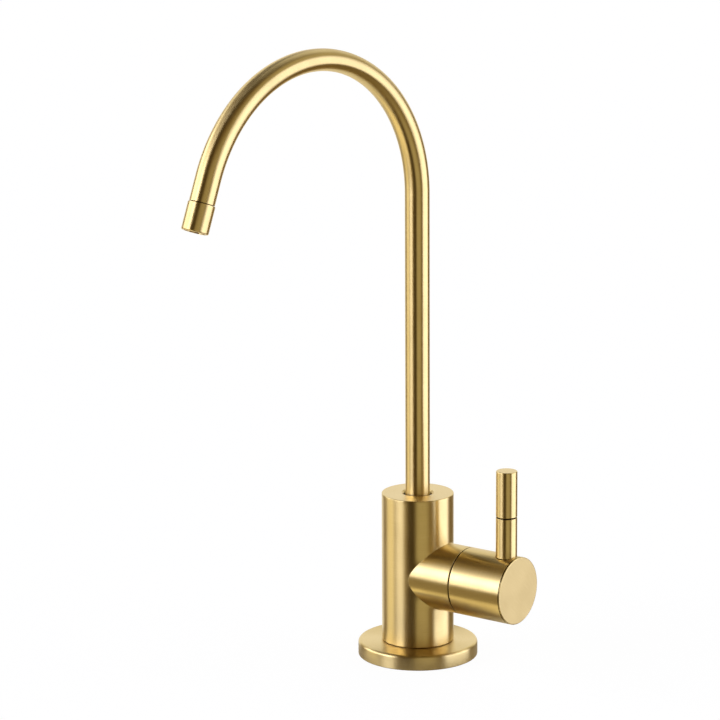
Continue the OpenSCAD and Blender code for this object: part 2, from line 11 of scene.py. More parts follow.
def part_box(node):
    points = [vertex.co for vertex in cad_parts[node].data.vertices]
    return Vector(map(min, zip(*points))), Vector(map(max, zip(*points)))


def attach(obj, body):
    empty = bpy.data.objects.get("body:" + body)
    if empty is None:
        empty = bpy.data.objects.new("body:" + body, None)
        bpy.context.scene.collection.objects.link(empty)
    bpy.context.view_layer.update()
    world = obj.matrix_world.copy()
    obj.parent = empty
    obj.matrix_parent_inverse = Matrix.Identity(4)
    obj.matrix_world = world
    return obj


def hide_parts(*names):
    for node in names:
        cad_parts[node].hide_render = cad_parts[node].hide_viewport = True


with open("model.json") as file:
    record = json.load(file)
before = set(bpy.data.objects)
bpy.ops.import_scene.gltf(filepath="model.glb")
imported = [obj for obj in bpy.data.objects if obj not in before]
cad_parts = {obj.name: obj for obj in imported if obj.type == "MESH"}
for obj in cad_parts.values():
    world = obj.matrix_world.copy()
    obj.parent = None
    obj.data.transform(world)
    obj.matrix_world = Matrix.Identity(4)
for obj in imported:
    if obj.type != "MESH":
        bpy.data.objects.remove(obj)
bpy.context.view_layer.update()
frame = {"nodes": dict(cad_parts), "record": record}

bl_info = {
    "name": "Drinking Water Tap",
    "version": (1, 0, 0),
    "blender": (4, 5, 0),
    "location": "View3D > Sidebar > Tap",
    "description": "Models and finishes a brushed gold drinking water tap on its packed frame",
    "category": "Add Mesh",
}

MM = 0.001
GRAIN = "grain"

# Counts of steps in the meshes: round a piece, in a round, along the spout, in the fillet, round and up
# the openings' frames, across their walls, along the branch, and along and round the thread
TURN_STEPS = 128
ROUND_STEPS = 5
BEND_STEPS = 120
RISER_STEPS = 24
FILLET_STEPS = 6
ACROSS_STEPS = 88
UP_STEPS = 26
WALL_STEPS = 20
BRANCH_STEPS = 8
THREAD_STEPS = 10
THREAD_SIDES = 60

# Distances within which two points are one, and an edge lies on the ring that is looked for
WELD = 1e-7
PICK = 2e-6

# How far a cutting tool reaches past what it cuts
REACH = MM

# Shading: angles above which an edge is sharp, the least share of a normal along the axis that makes
# a face an end, and the weight of large faces
SMOOTH_ANGLE = math.radians(35)
THREAD_ANGLE = math.radians(70)
FLAT_SHARE = 0.8
NORMAL_WEIGHT = 80

# Heights of the adapter's grip grooves, as shares of its round part
GRIP_GROOVES = (0.35, 0.55)

# Textures: features in a metre, depths of relief, changes of roughness, the brushed lines' pull on
# highlights, and the span that noise mostly keeps to
LINE_BREAKS = 160.0
TONES = 90.0
BLOTCHES = 140.0
BRUSH_RELIEF = 0.02 * MM
GRAIN_RELIEF = 0.03 * MM
GOLD_SPREAD = 0.03
STOCK_SPREAD = 0.06
GOLD_ANISOTROPY = 0.9
NOISE_LOW = 0.25
NOISE_HIGH = 0.75
FLOOR_ROUGHNESS = 0.9

SENSOR_WIDTH = 36

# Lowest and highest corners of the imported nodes
BODY_LOW, BODY_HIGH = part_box("body")
BARREL_LOW, BARREL_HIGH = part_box("handle_barrel")
STEM_LOW, STEM_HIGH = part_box("lever_stem")
BUSH_LOW, BUSH_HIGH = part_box("guide_bush")
GRUB_LOW, GRUB_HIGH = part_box("grub_screw")
SHANK_LOW, SHANK_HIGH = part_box("shank")
NUT_LOW, NUT_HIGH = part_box("lock_nut")
ADAPTER_LOW, ADAPTER_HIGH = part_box("inlet_adapter")
COLLET_LOW, COLLET_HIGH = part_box("collet")
INSERT_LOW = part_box("spout_insert")[0]
FLANGE_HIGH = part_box("flange")[1]
GASKET_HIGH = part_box("base_gasket")[1]
GRIP_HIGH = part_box("lever_grip")[1]
HOUSING_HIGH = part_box("cartridge_housing")[1]
SEAL_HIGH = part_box("inlet_o_ring")[1]
CLIP_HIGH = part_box("spindle_circlip")[1]

COLUMN_R = -BODY_LOW.x
COLUMN_TOP = BODY_HIGH.z
BRANCH_R = (BARREL_HIGH.z - BARREL_LOW.z) / 2
BRANCH_Z = (BARREL_LOW.z + BARREL_HIGH.z) / 2
BRANCH_REACH = BODY_HIGH.x
LEVER_R = (STEM_HIGH.x - STEM_LOW.x) / 2
LEVER_X = (STEM_LOW.x + STEM_HIGH.x) / 2
GRUB_R = (GRUB_HIGH.x - GRUB_LOW.x) / 2
GRUB_X = (GRUB_LOW.x + GRUB_HIGH.x) / 2


def length(name, default, description):
    """A length that a user may change, with its default in millimetres."""
    return FloatProperty(
        name=name, description=description, default=default * MM, min=0, unit="LENGTH"
    )


def angle(name, default, description):
    """An angle that a user may change, with its default in degrees."""
    return FloatProperty(
        name=name, description=description, default=math.radians(default), unit="ROTATION"
    )


def share(name, default, description):
    """A share between 0 and 1 that a user may change."""
    return FloatProperty(
        name=name, description=description, default=default, min=0, max=1, subtype="FACTOR"
    )


def level(name, default, description):
    """A brightness that a user may change."""
    return FloatProperty(name=name, description=description, default=default, min=0)


def colour(name, default, description):
    """A linear colour that a user may change."""
    return FloatVectorProperty(
        name=name, description=description, default=default, size=3, min=0, max=1, subtype="COLOR"
    )


class TapSizes(bpy.types.PropertyGroup):
    """Sizes of the shapes that the frame's boxes don't give."""

    edge_round: length("Edge round", 0.4, "Round on the edges of the column, branch, barrel and grip")
    fine_round: length("Fine round", 0.15, "Round on the edges beside a seam")
    flange_round: length("Flange round", 1.2, "Round on the upper edge of the flange")
    shadow_gap: length("Shadow gap", 0.22, "Recess under the column, above the flange")
    foot_radius: length("Foot radius", 11, "Radius of the foot in the shadow gap")
    fillet: length("Branch fillet", 0.3, "Radius of the fillet between the column and the branch")
    mouth_radius: length("Mouth radius", 5.65, "Radius of the counterbore at the top of the column")
    mouth_chamfer: length("Mouth chamfer", 0.7, "Chamfer at the mouth of the column")
    ledge_depth: length("Ledge depth", 8, "Depth of the counterbore that holds the guide bush")
    socket_radius: length("Socket radius", 4.85, "Radius of the socket that the spout turns in")
    cavity_radius: length("Cavity radius", 7.2, "Radius of the cartridge's cavity in the branch")
    seat_x: FloatProperty(
        name="Seat", description="Place of the cartridge's seat along the branch",
        default=-0.5 * MM, unit="LENGTH",
    )
    shank_hole_rise: length("Shank hole rise", 1.5, "Height of the shank's hole above the shank")
    shank_gap: length("Shank gap", 0.5, "Gap between the shank and its hole in the flange")
    fit_gap: length("Fit gap", 0.05, "Gap of a close fit")
    thread: length("Thread", 8, "Length of the cartridge's thread in the branch")
    seam_round: length("Seam round", 0.25, "Round on the lips of the seam beside the barrel")
    barrel_wall: length("Barrel wall", 2, "Wall of the handle's barrel")
    end_round: length("End round", 0.4, "Round on the outer end of the barrel")
    cap_seam: length("Cap seam", 0.35, "Width and depth of the seam round the barrel's end cap")
    lever_seat: length("Lever seat", 0.9, "Depth of the flat that the lever stands on")
    lever_lift: length("Lever lift", 0.45, "Gap under the lever's foot, above its seat")
    foot_round: length("Foot round", 0.35, "Round on the lever's foot")
    seat_gap: length("Seat gap", 0.1, "Gap between the lever and the wall of its seat")
    lever_groove: length("Lever groove", 0.5, "Width of the groove between the two halves of the lever")
    neck_inset: length("Neck inset", 1, "Depth of the groove between the two halves of the lever")
    stud_radius: length("Stud radius", 2.5, "Radius of the studs that the lever is screwed together with")
    tube_radius: length("Tube radius", 4.75, "Outer radius of the spout's tube")
    tube_wall: length("Tube wall", 0.8, "Wall of the spout's tube")
    riser_top: length("Riser top", 182.8, "Height at which the spout begins to bend")
    bend_radius: length("Bend radius", 57, "Radius of the spout's bend at the tube's middle")
    bend_angle: angle("Bend angle", 159, "Angle that the spout bends through")
    bend_flat: share("Bend flattening", 0.13, "Share of the tube's height that is lost in the bend")
    spout_turn: angle("Spout turn", 7, "Angle that the spout rests at, away from the handle")
    tail: length("Tail", 9.3, "Straight run between the bend and the nozzle")
    nozzle_seam: length("Nozzle seam", 0.3, "Gap between the tube's end and the nozzle's shoulder")
    nozzle_proud: length("Nozzle step", 0.3, "Step from the tube out to the nozzle")
    nozzle_length: length("Nozzle length", 10.5, "Length of the nozzle")
    nozzle_wall: length("Nozzle wall", 1, "Wall of the nozzle at the outlet")
    nozzle_round: length("Nozzle round", 0.6, "Round on the nozzle's outlet")
    nozzle_spigot: length("Nozzle spigot", 7, "Length of the nozzle that is inside the tube")
    outlet_depth: length("Outlet depth", 4.2, "Depth of the outlet's bore, with the straightener in it")
    thread_pitch: length("Thread pitch", 1.27, "Pitch of the shank's thread")
    thread_depth: length("Thread depth", 0.55, "Depth of the shank's thread")
    shank_bore: length("Shank bore", 3.5, "Radius of the waterway in the shank")
    shank_chamfer: length("Shank chamfer", 0.8, "Chamfer at the ends of the shank")
    washer_round: length("Washer round", 0.6, "Round on the edges of the rubber washer")
    hex_chamfer: length("Hexagon chamfer", 0.9, "Chamfer on the corners of the hexagons")
    hex_round: length("Hexagon round", 0.35, "Width of the rounds between the flats of the hexagons")
    bore_chamfer: length("Bore chamfer", 0.45, "Chamfer at the mouth of a threaded bore")
    adapter_radius: length("Adapter radius", 8, "Radius of the adapter's round part")
    adapter_groove: length("Adapter groove", 0.5, "Depth of the grip grooves on the adapter")
    throat_radius: length("Throat radius", 2.175, "Radius of the adapter's waterway")
    throat: length("Throat", 2.5, "Thickness of the stop that the supply tube meets")
    supply_radius: length("Supply socket radius", 3.21, "Radius of the socket for the supply tube")
    lip_radius: length("Lip radius", 4.46, "Radius of the adapter's mouth, that the collet slides in")
    lip: length("Lip", 2, "Thickness of the adapter's lip")
    collet_wall: length("Collet wall", 1, "Wall of the collet")
    collet_head: length("Collet head", 1.5, "Thickness of the collet's head")
    collet_catch: length("Collet catch", 4.9, "Radius of the collet's teeth, inside the adapter")
    collet_slot: length("Collet slot", 0.8, "Width of the slots in the collet")
    catch_gap: length("Catch gap", 0.2, "Gap between the collet's teeth and the adapter's lip")


class TapFinish(bpy.types.PropertyGroup):
    """Colours and textures of the finishes."""

    gold: colour("Gold", (0.79, 0.60, 0.245), "Brushed gold")
    gold_deep: colour("Deep gold", (0.73, 0.545, 0.205), "Brushed gold in the finest scratches")
    gold_roughness: share("Gold roughness", 0.33, "Roughness of the brushed gold")
    brush_lines: level("Brush lines", 5200, "Brushed lines in a metre")
    brush_depth: share("Brush depth", 0.05, "Strength of the brushed lines' relief")
    # Painted shade for the seams, with a little tarnish: a dark colour that stands in for the shade
    # falling there
    seam: colour("Seam", (0.07, 0.041, 0.013), "Dark tarnish in the seams")
    brass: colour("Brass", (0.72, 0.50, 0.20), "Bare turned brass")
    steel: colour("Steel", (0.58, 0.58, 0.57), "Plain stainless steel")
    ceramic: colour("Ceramic", (0.82, 0.81, 0.77), "Lapped ceramic")
    rubber: colour("Rubber", (0.022, 0.022, 0.023), "Moulded rubber")
    nylon: colour("Nylon", (0.045, 0.034, 0.022), "Dark moulded nylon")
    plastic: colour("Plastic", (0.72, 0.72, 0.70), "Pale moulded plastic")


class TapStage(bpy.types.PropertyGroup):
    """Camera, floor and studio."""

    azimuth: angle("Camera azimuth", 35.557, "Turn of the camera from straight ahead to the handle")
    distance: length("Camera distance", 1311.25, "Level distance of the camera from the column's axis")
    height: length("Camera height", 424.76, "Height of the camera above the deck")
    pitch: angle("Camera pitch", 13.176, "Angle that the camera looks down by")
    yaw: angle("Camera yaw", -0.965, "Angle that the camera looks right by")
    roll: angle("Camera roll", -0.313, "Angle that the camera is rolled by")
    lens: FloatProperty(
        name="Lens", description="Focal length in mm on a 36 mm frame", default=175.19, min=1
    )
    floor: colour("Floor", (0.62, 0.62, 0.615), "Plain pale floor")
    floor_radius: length("Floor radius", 3000, "Radius of the floor")
    floor_near: length("Near floor", 35, "Radius of the floor that shows in the metal")
    floor_drop: length("Floor drop", 0.05, "Gap between the floor and the tap's underside")
    deck_hole: length("Deck hole", 6.25, "Radius of the hole for the shank")
    shade: share("Shade", 0.12, "How much of the object's shadow the camera sees on the floor")
    floor_white: level("Floor white", 1.085, "Brightness that makes up for the shade on the open floor")
    backdrop: level("Backdrop level", 1.0, "Light that the white backdrop gives")


def sizes():
    """The scene's sizes of the tap."""
    return bpy.context.scene.tap_sizes


def finishes():
    """The scene's finishes of the tap."""
    return bpy.context.scene.tap_finish


def stage_settings():
    """The scene's camera, floor and studio."""
    return bpy.context.scene.tap_stage


# Modelling

def use(obj):
    """Make an object the only one that is selected, and the active one."""
    bpy.ops.object.select_all(action="DESELECT")
    obj.select_set(True)
    bpy.context.view_layer.objects.active = obj


def pick_ring(obj, radius, height):
    """Select the ring of edges at a radius and height, on a mesh in edit mode about its own Z axis."""
    mesh = bmesh.from_edit_mesh(obj.data)
    found = 0
    for edge in mesh.edges:
        on_ring = all(
            abs(math.hypot(vertex.co.x, vertex.co.y) - radius) < PICK
            and abs(vertex.co.z - height) < PICK
            for vertex in edge.verts
        )
        edge.select_set(on_ring)
        found += on_ring
    mesh.select_flush_mode()
    bmesh.update_edit_mesh(obj.data)
    if not found:
        raise RuntimeError(f"{obj.name} has no ring at radius {radius:.6f} and height {height:.6f}")


def start_ring(name, radius, height, sides=TURN_STEPS):
    """Start a piece with a ring about its own Z axis, in edit mode and selected."""
    bpy.ops.object.select_all(action="DESELECT")
    bpy.ops.mesh.primitive_circle_add(vertices=sides, radius=radius, fill_type="NOTHING")
    obj = bpy.context.object
    obj.name = name
    obj.data.name = name
    bpy.ops.object.mode_set(mode="EDIT")
    bpy.ops.mesh.select_mode(type="EDGE")
    bpy.ops.mesh.select_all(action="SELECT")
    bpy.ops.transform.translate(value=(0, 0, height))
    return obj


def draw_out(move):
    """Extrude what is selected along a move."""
    bpy.ops.mesh.extrude_region_move(TRANSFORM_OT_translate={"value": move})


def round_edges(width):
    """Round the selected edges."""
    bpy.ops.mesh.bevel(offset=width, segments=ROUND_STEPS, profile=0.5, affect="EDGES")


def weld_all():
    """Weld the piece in edit mode, and point its faces outwards."""
    bpy.ops.mesh.select_all(action="SELECT")
    bpy.ops.mesh.remove_doubles(threshold=WELD)
    bpy.ops.mesh.normals_make_consistent(inside=False)


def turn(name, stations, looped=False):
    """Turn a piece about its own Z axis, with a ring at each (radius, height, round).

    A looped piece has a bore, and the others have flat ends.
    """
    first = stations[0][:2]
    obj = start_ring(name, *first)
    route = stations + stations[:1] if looped else stations
    for (radius, height, _), (next_radius, next_height, _) in zip(route, route[1:]):
        draw_out((0, 0, next_height - height))
        factor = next_radius / radius
        bpy.ops.transform.resize(value=(factor, factor, 1), center_override=(0, 0, next_height))
    if not looped:
        bpy.ops.mesh.edge_face_add()
        pick_ring(obj, *first)
        bpy.ops.mesh.edge_face_add()
    weld_all()
    for radius, height, width in stations:
        if width:
            pick_ring(obj, radius, height)
            round_edges(width)
    bpy.ops.object.mode_set(mode="OBJECT")
    return obj


def place(obj, matrix):
    """Put a piece in its place, and keep that place in its mesh."""
    use(obj)
    obj.matrix_world = matrix
    bpy.ops.object.transform_apply(location=True, rotation=True, scale=True)


def apply_modifier(obj, kind, **settings):
    """Add a modifier with these settings, and apply it."""
    use(obj)
    modifier = obj.modifiers.new(kind.title(), kind)
    for key, value in settings.items():
        setattr(modifier, key, value)
    bpy.ops.object.modifier_apply(modifier=modifier.name)


def smooth(obj, crease=SMOOTH_ANGLE):
    """Shade the rounds smooth, and keep the flats flat."""
    use(obj)
    bpy.ops.object.shade_smooth_by_angle(angle=crease)
    apply_modifier(obj, "WEIGHTED_NORMAL", keep_sharp=True, weight=NORMAL_WEIGHT)


def hexagon_bar(corner_radius, low, high):
    """Hexagonal bar with its corners rounded, one of them along X."""
    bpy.ops.object.select_all(action="DESELECT")
    bpy.ops.mesh.primitive_cylinder_add(
        vertices=6, radius=corner_radius, depth=high - low, location=(0, 0, (low + high) / 2),
        rotation=(0, 0, math.pi / 2),
    )
    obj = bpy.context.object
    bpy.ops.object.transform_apply(location=True, rotation=True, scale=True)
    bpy.ops.object.mode_set(mode="EDIT")
    bpy.ops.mesh.select_mode(type="EDGE")
    bpy.ops.mesh.select_all(action="DESELECT")
    mesh = bmesh.from_edit_mesh(obj.data)
    for edge in mesh.edges:
        if abs(edge.verts[0].co.z - edge.verts[1].co.z) > PICK:
            edge.select_set(True)
    bmesh.update_edit_mesh(obj.data)
    round_edges(sizes().hex_round)
    bpy.ops.object.mode_set(mode="OBJECT")
    return obj


def cut(obj, tool, operation):
    """Cut a piece with a tool, and put the tool away."""
    apply_modifier(obj, "BOOLEAN", operation=operation, object=tool, solver="EXACT")
    bpy.data.objects.remove(tool, do_unlink=True)


def cut_to_hexagon(obj, low, high):
    """Cut a turned blank to the hexagon that fits between its node's corners."""
    cut(obj, hexagon_bar(high.x, low.z - REACH, high.z + REACH), "INTERSECT")


def along_x():
    """Turn of a piece from its own Z axis to the branch's axis, with its own X axis upwards."""
    turned = Matrix(((0, 0, 1), (0, -1, 0), (1, 0, 0))).to_4x4()
    return Matrix.Translation((0, 0, BRANCH_Z)) @ turned


def spout_place():
    """Turn of the spout from straight ahead to where it rests."""
    return Matrix.Rotation(-sizes().spout_turn, 4, "Z")


def tail_place():
    """Place of the bend's end, with Z along the flow."""
    s = sizes()
    end = Vector((
        0,
        s.bend_radius * (math.cos(s.bend_angle) - 1),
        s.riser_top + s.bend_radius * math.sin(s.bend_angle),
    ))
    return spout_place() @ Matrix.Translation(end) @ Matrix.Rotation(s.bend_angle, 4, "X")


class RoundChart:
    """Brushing round a straight axis: U along it, V round it, and straight or in rings at its ends."""

    def __init__(self, origin, axis, radius, rings=False):
        self.origin = Vector(origin)
        self.axis = Vector(axis).normalized()
        self.side = self.axis.orthogonal().normalized()
        self.over = self.axis.cross(self.side)
        self.radius = radius
        self.rings = rings

    def at(self, point):
        """Place along the axis and turn about it."""
        from_origin = point - self.origin
        turned = math.atan2(from_origin.dot(self.over), from_origin.dot(self.side))
        return from_origin.dot(self.axis), turned

    def wrapped(self, point, centre):
        """Place of a point, with its turn on the same round as that of its face's middle."""
        run, turned = self.at(point)
        _, middle = self.at(centre)
        return run, middle + (turned - middle + math.pi) % (2 * math.pi) - math.pi

    def corner(self, point, centre, normal):
        """Grain UV of a face's corner."""
        flat = point - self.origin
        end = abs(normal.dot(self.axis)) > FLAT_SHARE
        if end and not self.rings:
            return flat.dot(self.side), flat.dot(self.over)
        run, turned = self.wrapped(point, centre)
        if end:
            run = math.hypot(flat.dot(self.side), flat.dot(self.over))
        return run, turned * self.radius


class SpoutChart(RoundChart):
    """Brushing round the spout: U along the tube's middle line, V round the tube."""

    def __init__(self):
        super().__init__((0, 0, 0), (0, 0, 1), sizes().tube_radius)
        self.unturn = spout_place().inverted()

    def at(self, point):
        s = sizes()
        x, y, z = self.unturn @ point
        bent = math.atan2(z - s.riser_top, y + s.bend_radius)
        if z < s.riser_top and y > -s.bend_radius:
            return z, math.atan2(x, y)
        if bent < 0:
            bent += 2 * math.pi
        bent = min(bent, s.bend_angle)
        outwards = Vector((0, math.cos(bent), math.sin(bent)))
        middle = Vector((0, -s.bend_radius, s.riser_top)) + outwards * s.bend_radius
        off = Vector((x, y, z)) - middle
        flow = Vector((0, -math.sin(bent), math.cos(bent)))
        run = s.riser_top + s.bend_radius * bent + off.dot(flow)
        return run, math.atan2(off.x, off.dot(outwards))

    def corner(self, point, centre, normal):
        run, turned = self.wrapped(point, centre)
        return run, turned * self.radius


class BodyChart:
    """Brushing of the column and the branch, each round its own axis."""

    def __init__(self):
        self.column = RoundChart((0, 0, 0), (0, 0, 1), COLUMN_R)
        self.branch = RoundChart((0, 0, BRANCH_Z), (1, 0, 0), BRANCH_R)
        self.fillet_edge = COLUMN_R + sizes().fillet / 10

    def corner(self, point, centre, normal):
        on_branch = math.hypot(centre.x, centre.y) > self.fillet_edge
        chart = self.branch if on_branch else self.column
        return chart.corner(point, centre, normal)


def lay_grain(obj, chart):
    """Write the grain UV map that a chart gives."""
    mesh = obj.data
    layer = mesh.uv_layers.new(name=GRAIN)
    for face in mesh.polygons:
        for loop in face.loop_indices:
            point = mesh.vertices[mesh.loops[loop].vertex_index].co
            layer.data[loop].uv = chart.corner(point, face.center, face.normal)


def dress(obj, node, body, slot):
    """Give a finished piece its slot's material, and let it stand for its node."""
    obj.data.materials.clear()
    obj.data.materials.append(material_of(slot))
    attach(obj, body)
    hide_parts(node)


def paint_seam_shade(obj, inside):
    """Paint the faces in a seam dark: painted shade where shade falls in the seam, with a little tarnish.
    """
    obj.data.materials.append(material_of("dark_seam"))
    for face in obj.data.polygons:
        if inside(face.center):
            face.material_index = len(obj.data.materials) - 1


def skin(mesh, rings):
    """Faces between each ring and the next. The rings are closed, with as many vertices each."""
    for ring, after in zip(rings, rings[1:]):
        count = len(ring)
        for i in range(count):
            j = (i + 1) % count
            mesh.faces.new((ring[i], ring[j], after[j], after[i]))


def ring_of(mesh, points):
    """A vertex at each point."""
    return [mesh.verts.new(point) for point in points]


def spread(start, end, steps):
    """Even steps from a start up to, but not at, an end."""
    return [start + (end - start) * i / steps for i in range(steps)]


def upright(radius, turned, height):
    """Point at a radius, turn and height about the Z axis."""
    return Vector((radius * math.cos(turned), radius * math.sin(turned), height))


def unrolled_frame(half_turn, low, high):
    """Points (turn, height) round the edge of an unrolled wall, from the start of its top side."""
    points = [(turned, high) for turned in spread(-half_turn, half_turn, ACROSS_STEPS)]
    points += [(half_turn, height) for height in spread(high, low, UP_STEPS)]
    points += [(turned, low) for turned in spread(half_turn, -half_turn, ACROSS_STEPS)]
    points += [(-half_turn, height) for height in spread(low, high, UP_STEPS)]
    return points


def rim_angles(corner):
    """Angles round an opening, from its top, that go with the points of the unrolled frame."""
    angles = spread(-corner, corner, ACROSS_STEPS)
    angles += spread(corner, math.pi - corner, UP_STEPS)
    angles += spread(math.pi - corner, math.pi + corner, ACROSS_STEPS)
    angles += spread(math.pi + corner, 2 * math.pi - corner, UP_STEPS)
    return angles


def wall_round_opening(mesh, radius, rim, half_turn, low, high, facing):
    """Wall of a round column from the rim of an opening in it to the edge of its half_turn."""
    middle = Matrix.Rotation(facing, 3, "Z")
    rings = []
    edge = unrolled_frame(half_turn, low, high)
    for step in range(WALL_STEPS + 1):
        out = step / WALL_STEPS
        points = []
        for start, (edge_turn, edge_height) in zip(rim, edge):
            turned = math.atan2(start.y, start.x) * (1 - out) + edge_turn * out
            height = start.z * (1 - out) + edge_height * out
            points.append(middle @ upright(radius, turned, height))
        rings.append(ring_of(mesh, points))
    skin(mesh, rings)


def turned_rings(mesh, angles, stations, place_of=upright):
    """Skin through rings of the given angles at each (radius, run), with a flat at the last."""
    rings = []
    for radius, run in stations:
        rings.append(ring_of(mesh, [place_of(radius, turned, run) for turned in angles]))
    skin(mesh, rings)
    mesh.faces.new(rings[-1])


def quarter(radius, run, width, towards):
    """Stations of a round at a wall's end, from the wall inwards, facing 1 or -1 along the run."""
    stations = []
    for step in range(ROUND_STEPS + 1):
        turned = math.pi / 2 * step / ROUND_STEPS
        stations.append((
            radius - width + width * math.cos(turned),
            run + towards * width * (math.sin(turned) - 1),
        ))
    return stations


def piece_from(mesh, name):
    """Weld a built mesh, point its faces outwards, and make it a piece."""
    bmesh.ops.remove_doubles(mesh, verts=mesh.verts, dist=WELD * 10)
    bmesh.ops.recalc_face_normals(mesh, faces=mesh.faces)
    data = bpy.data.meshes.new(name)
    mesh.to_mesh(data)
    mesh.free()
    obj = bpy.data.objects.new(name, data)
    bpy.context.scene.collection.objects.link(obj)
    return obj


# Shader groups and materials

def new_group(name, inputs, outputs):
    """An empty shader group with its sockets, and its two end nodes."""
    tree = bpy.data.node_groups.new(name, "ShaderNodeTree")
    for socket, kind, default in inputs:
        made = tree.interface.new_socket(name=socket, in_out="INPUT", socket_type=kind)
        if default is not None:
            made.default_value = default
    for socket, kind in outputs:
        tree.interface.new_socket(name=socket, in_out="OUTPUT", socket_type=kind)
    return tree, tree.nodes.new("NodeGroupInput"), tree.nodes.new("NodeGroupOutput")


def add(tree, kind, links=(), **settings):
    """A node with its settings, then its links as (input, socket) and values as (input, value)."""
    made = tree.nodes.new(kind)
    for key, value in settings.items():
        setattr(made, key, value)
    for socket, value in links:
        if isinstance(value, bpy.types.NodeSocket):
            tree.links.new(value, made.inputs[socket])
        else:
            made.inputs[socket].default_value = value
    return made


def maths(tree, operation, *values):
    """Result of an operation on sockets or values."""
    made = add(tree, "ShaderNodeMath", list(enumerate(values)), operation=operation)
    return made.outputs[0]


def mix_colour(tree, share_socket, first, second):
    """Colour between two colours, each a socket or a value."""
    made = add(tree, "ShaderNodeMix", data_type="RGBA")
    colours = [socket for socket in made.inputs if socket.type == "RGBA"]
    tree.links.new(share_socket, made.inputs[0])
    for socket, value in zip(colours, (first, second)):
        if isinstance(value, bpy.types.NodeSocket):
            tree.links.new(value, socket)
        else:
            socket.default_value = (*value, 1)
    return next(socket for socket in made.outputs if socket.type == "RGBA")


def brushed_lines_group():
    """Fine lines across the grain's U, broken along V, and a slow change of tone."""
    found = bpy.data.node_groups.get("Brushed lines")
    if found:
        return found
    tree, start, end = new_group(
        "Brushed lines",
        [("Grain", "NodeSocketVector", None), ("Lines", "NodeSocketFloat", 5200.0)],
        [("Lines", "NodeSocketFloat"), ("Tone", "NodeSocketFloat")],
    )
    parts = add(tree, "ShaderNodeSeparateXYZ", [(0, start.outputs["Grain"])])
    across = maths(tree, "MULTIPLY", parts.outputs[0], start.outputs["Lines"])
    run = maths(tree, "MULTIPLY", parts.outputs[1], LINE_BREAKS)
    fine = add(tree, "ShaderNodeCombineXYZ", [(0, across), (1, run)])
    lines = add(tree, "ShaderNodeTexNoise", [
        ("Vector", fine.outputs[0]), ("Scale", 1.0), ("Detail", 3.0), ("Roughness", 0.6),
    ])
    slow = add(tree, "ShaderNodeTexNoise", [
        ("Vector", start.outputs["Grain"]), ("Scale", TONES), ("Detail", 2.0), ("Roughness", 0.5),
    ])
    tree.links.new(lines.outputs[0], end.inputs["Lines"])
    tree.links.new(slow.outputs[0], end.inputs["Tone"])
    return tree


def speckle_group():
    """Fine grains and slow blotches in Object coordinates, for moulded and turned stock."""
    found = bpy.data.node_groups.get("Speckle")
    if found:
        return found
    tree, start, end = new_group(
        "Speckle",
        [("Place", "NodeSocketVector", None), ("Grains", "NodeSocketFloat", 2500.0)],
        [("Grains", "NodeSocketFloat"), ("Blotches", "NodeSocketFloat")],
    )
    grains = add(tree, "ShaderNodeTexNoise", [
        ("Vector", start.outputs["Place"]), ("Scale", start.outputs["Grains"]), ("Detail", 2.0),
    ])
    blotches = add(tree, "ShaderNodeTexNoise", [
        ("Vector", start.outputs["Place"]), ("Scale", BLOTCHES), ("Detail", 3.0),
    ])
    tree.links.new(grains.outputs[0], end.inputs["Grains"])
    tree.links.new(blotches.outputs[0], end.inputs["Blotches"])
    return tree


def new_material(name):
    """A material with its tree and Principled shader."""
    made = bpy.data.materials.new(name)
    made.use_nodes = True
    return made, made.node_tree, made.node_tree.nodes["Principled BSDF"]


def vary(tree, value, low, high):
    """A noise, spread from low to high."""
    made = add(tree, "ShaderNodeMapRange", [
        ("Value", value), ("From Min", NOISE_LOW), ("From Max", NOISE_HIGH),
        ("To Min", low), ("To Max", high),
    ])
    return made.outputs[0]


def feed(tree, shader, tone, rough, height, strength, depth):
    """Feed a shader its colour and roughness, and the relief that a height gives it."""
    relief = add(tree, "ShaderNodeBump", [
        ("Strength", strength), ("Distance", depth), ("Height", height),
    ])
    tree.links.new(tone, shader.inputs["Base Color"])
    tree.links.new(rough, shader.inputs["Roughness"])
    tree.links.new(relief.outputs[0], shader.inputs["Normal"])


def brushed_gold():
    """Satin gold coating over fine lines that run round each piece."""
    found = bpy.data.materials.get("Brushed gold")
    if found:
        return found
    f = finishes()
    made, tree, shader = new_material("Brushed gold")
    grain = add(tree, "ShaderNodeUVMap", uv_map=GRAIN)
    lines = add(tree, "ShaderNodeGroup", node_tree=brushed_lines_group())
    lines.inputs["Lines"].default_value = f.brush_lines
    tree.links.new(grain.outputs[0], lines.inputs["Grain"])
    fleck = vary(tree, lines.outputs["Lines"], 0.0, 1.0)
    tone = mix_colour(tree, fleck, f.gold_deep, f.gold)
    smoothest = f.gold_roughness - GOLD_SPREAD
    rough = vary(tree, lines.outputs["Tone"], smoothest, smoothest + 2 * GOLD_SPREAD)
    feed(tree, shader, tone, rough, lines.outputs["Lines"], f.brush_depth, BRUSH_RELIEF)
    tangent = add(tree, "ShaderNodeTangent", direction_type="UV_MAP", uv_map=GRAIN)
    tree.links.new(tangent.outputs[0], shader.inputs["Tangent"])
    shader.inputs["Metallic"].default_value = 1
    shader.inputs["Anisotropic"].default_value = GOLD_ANISOTROPY
    return made


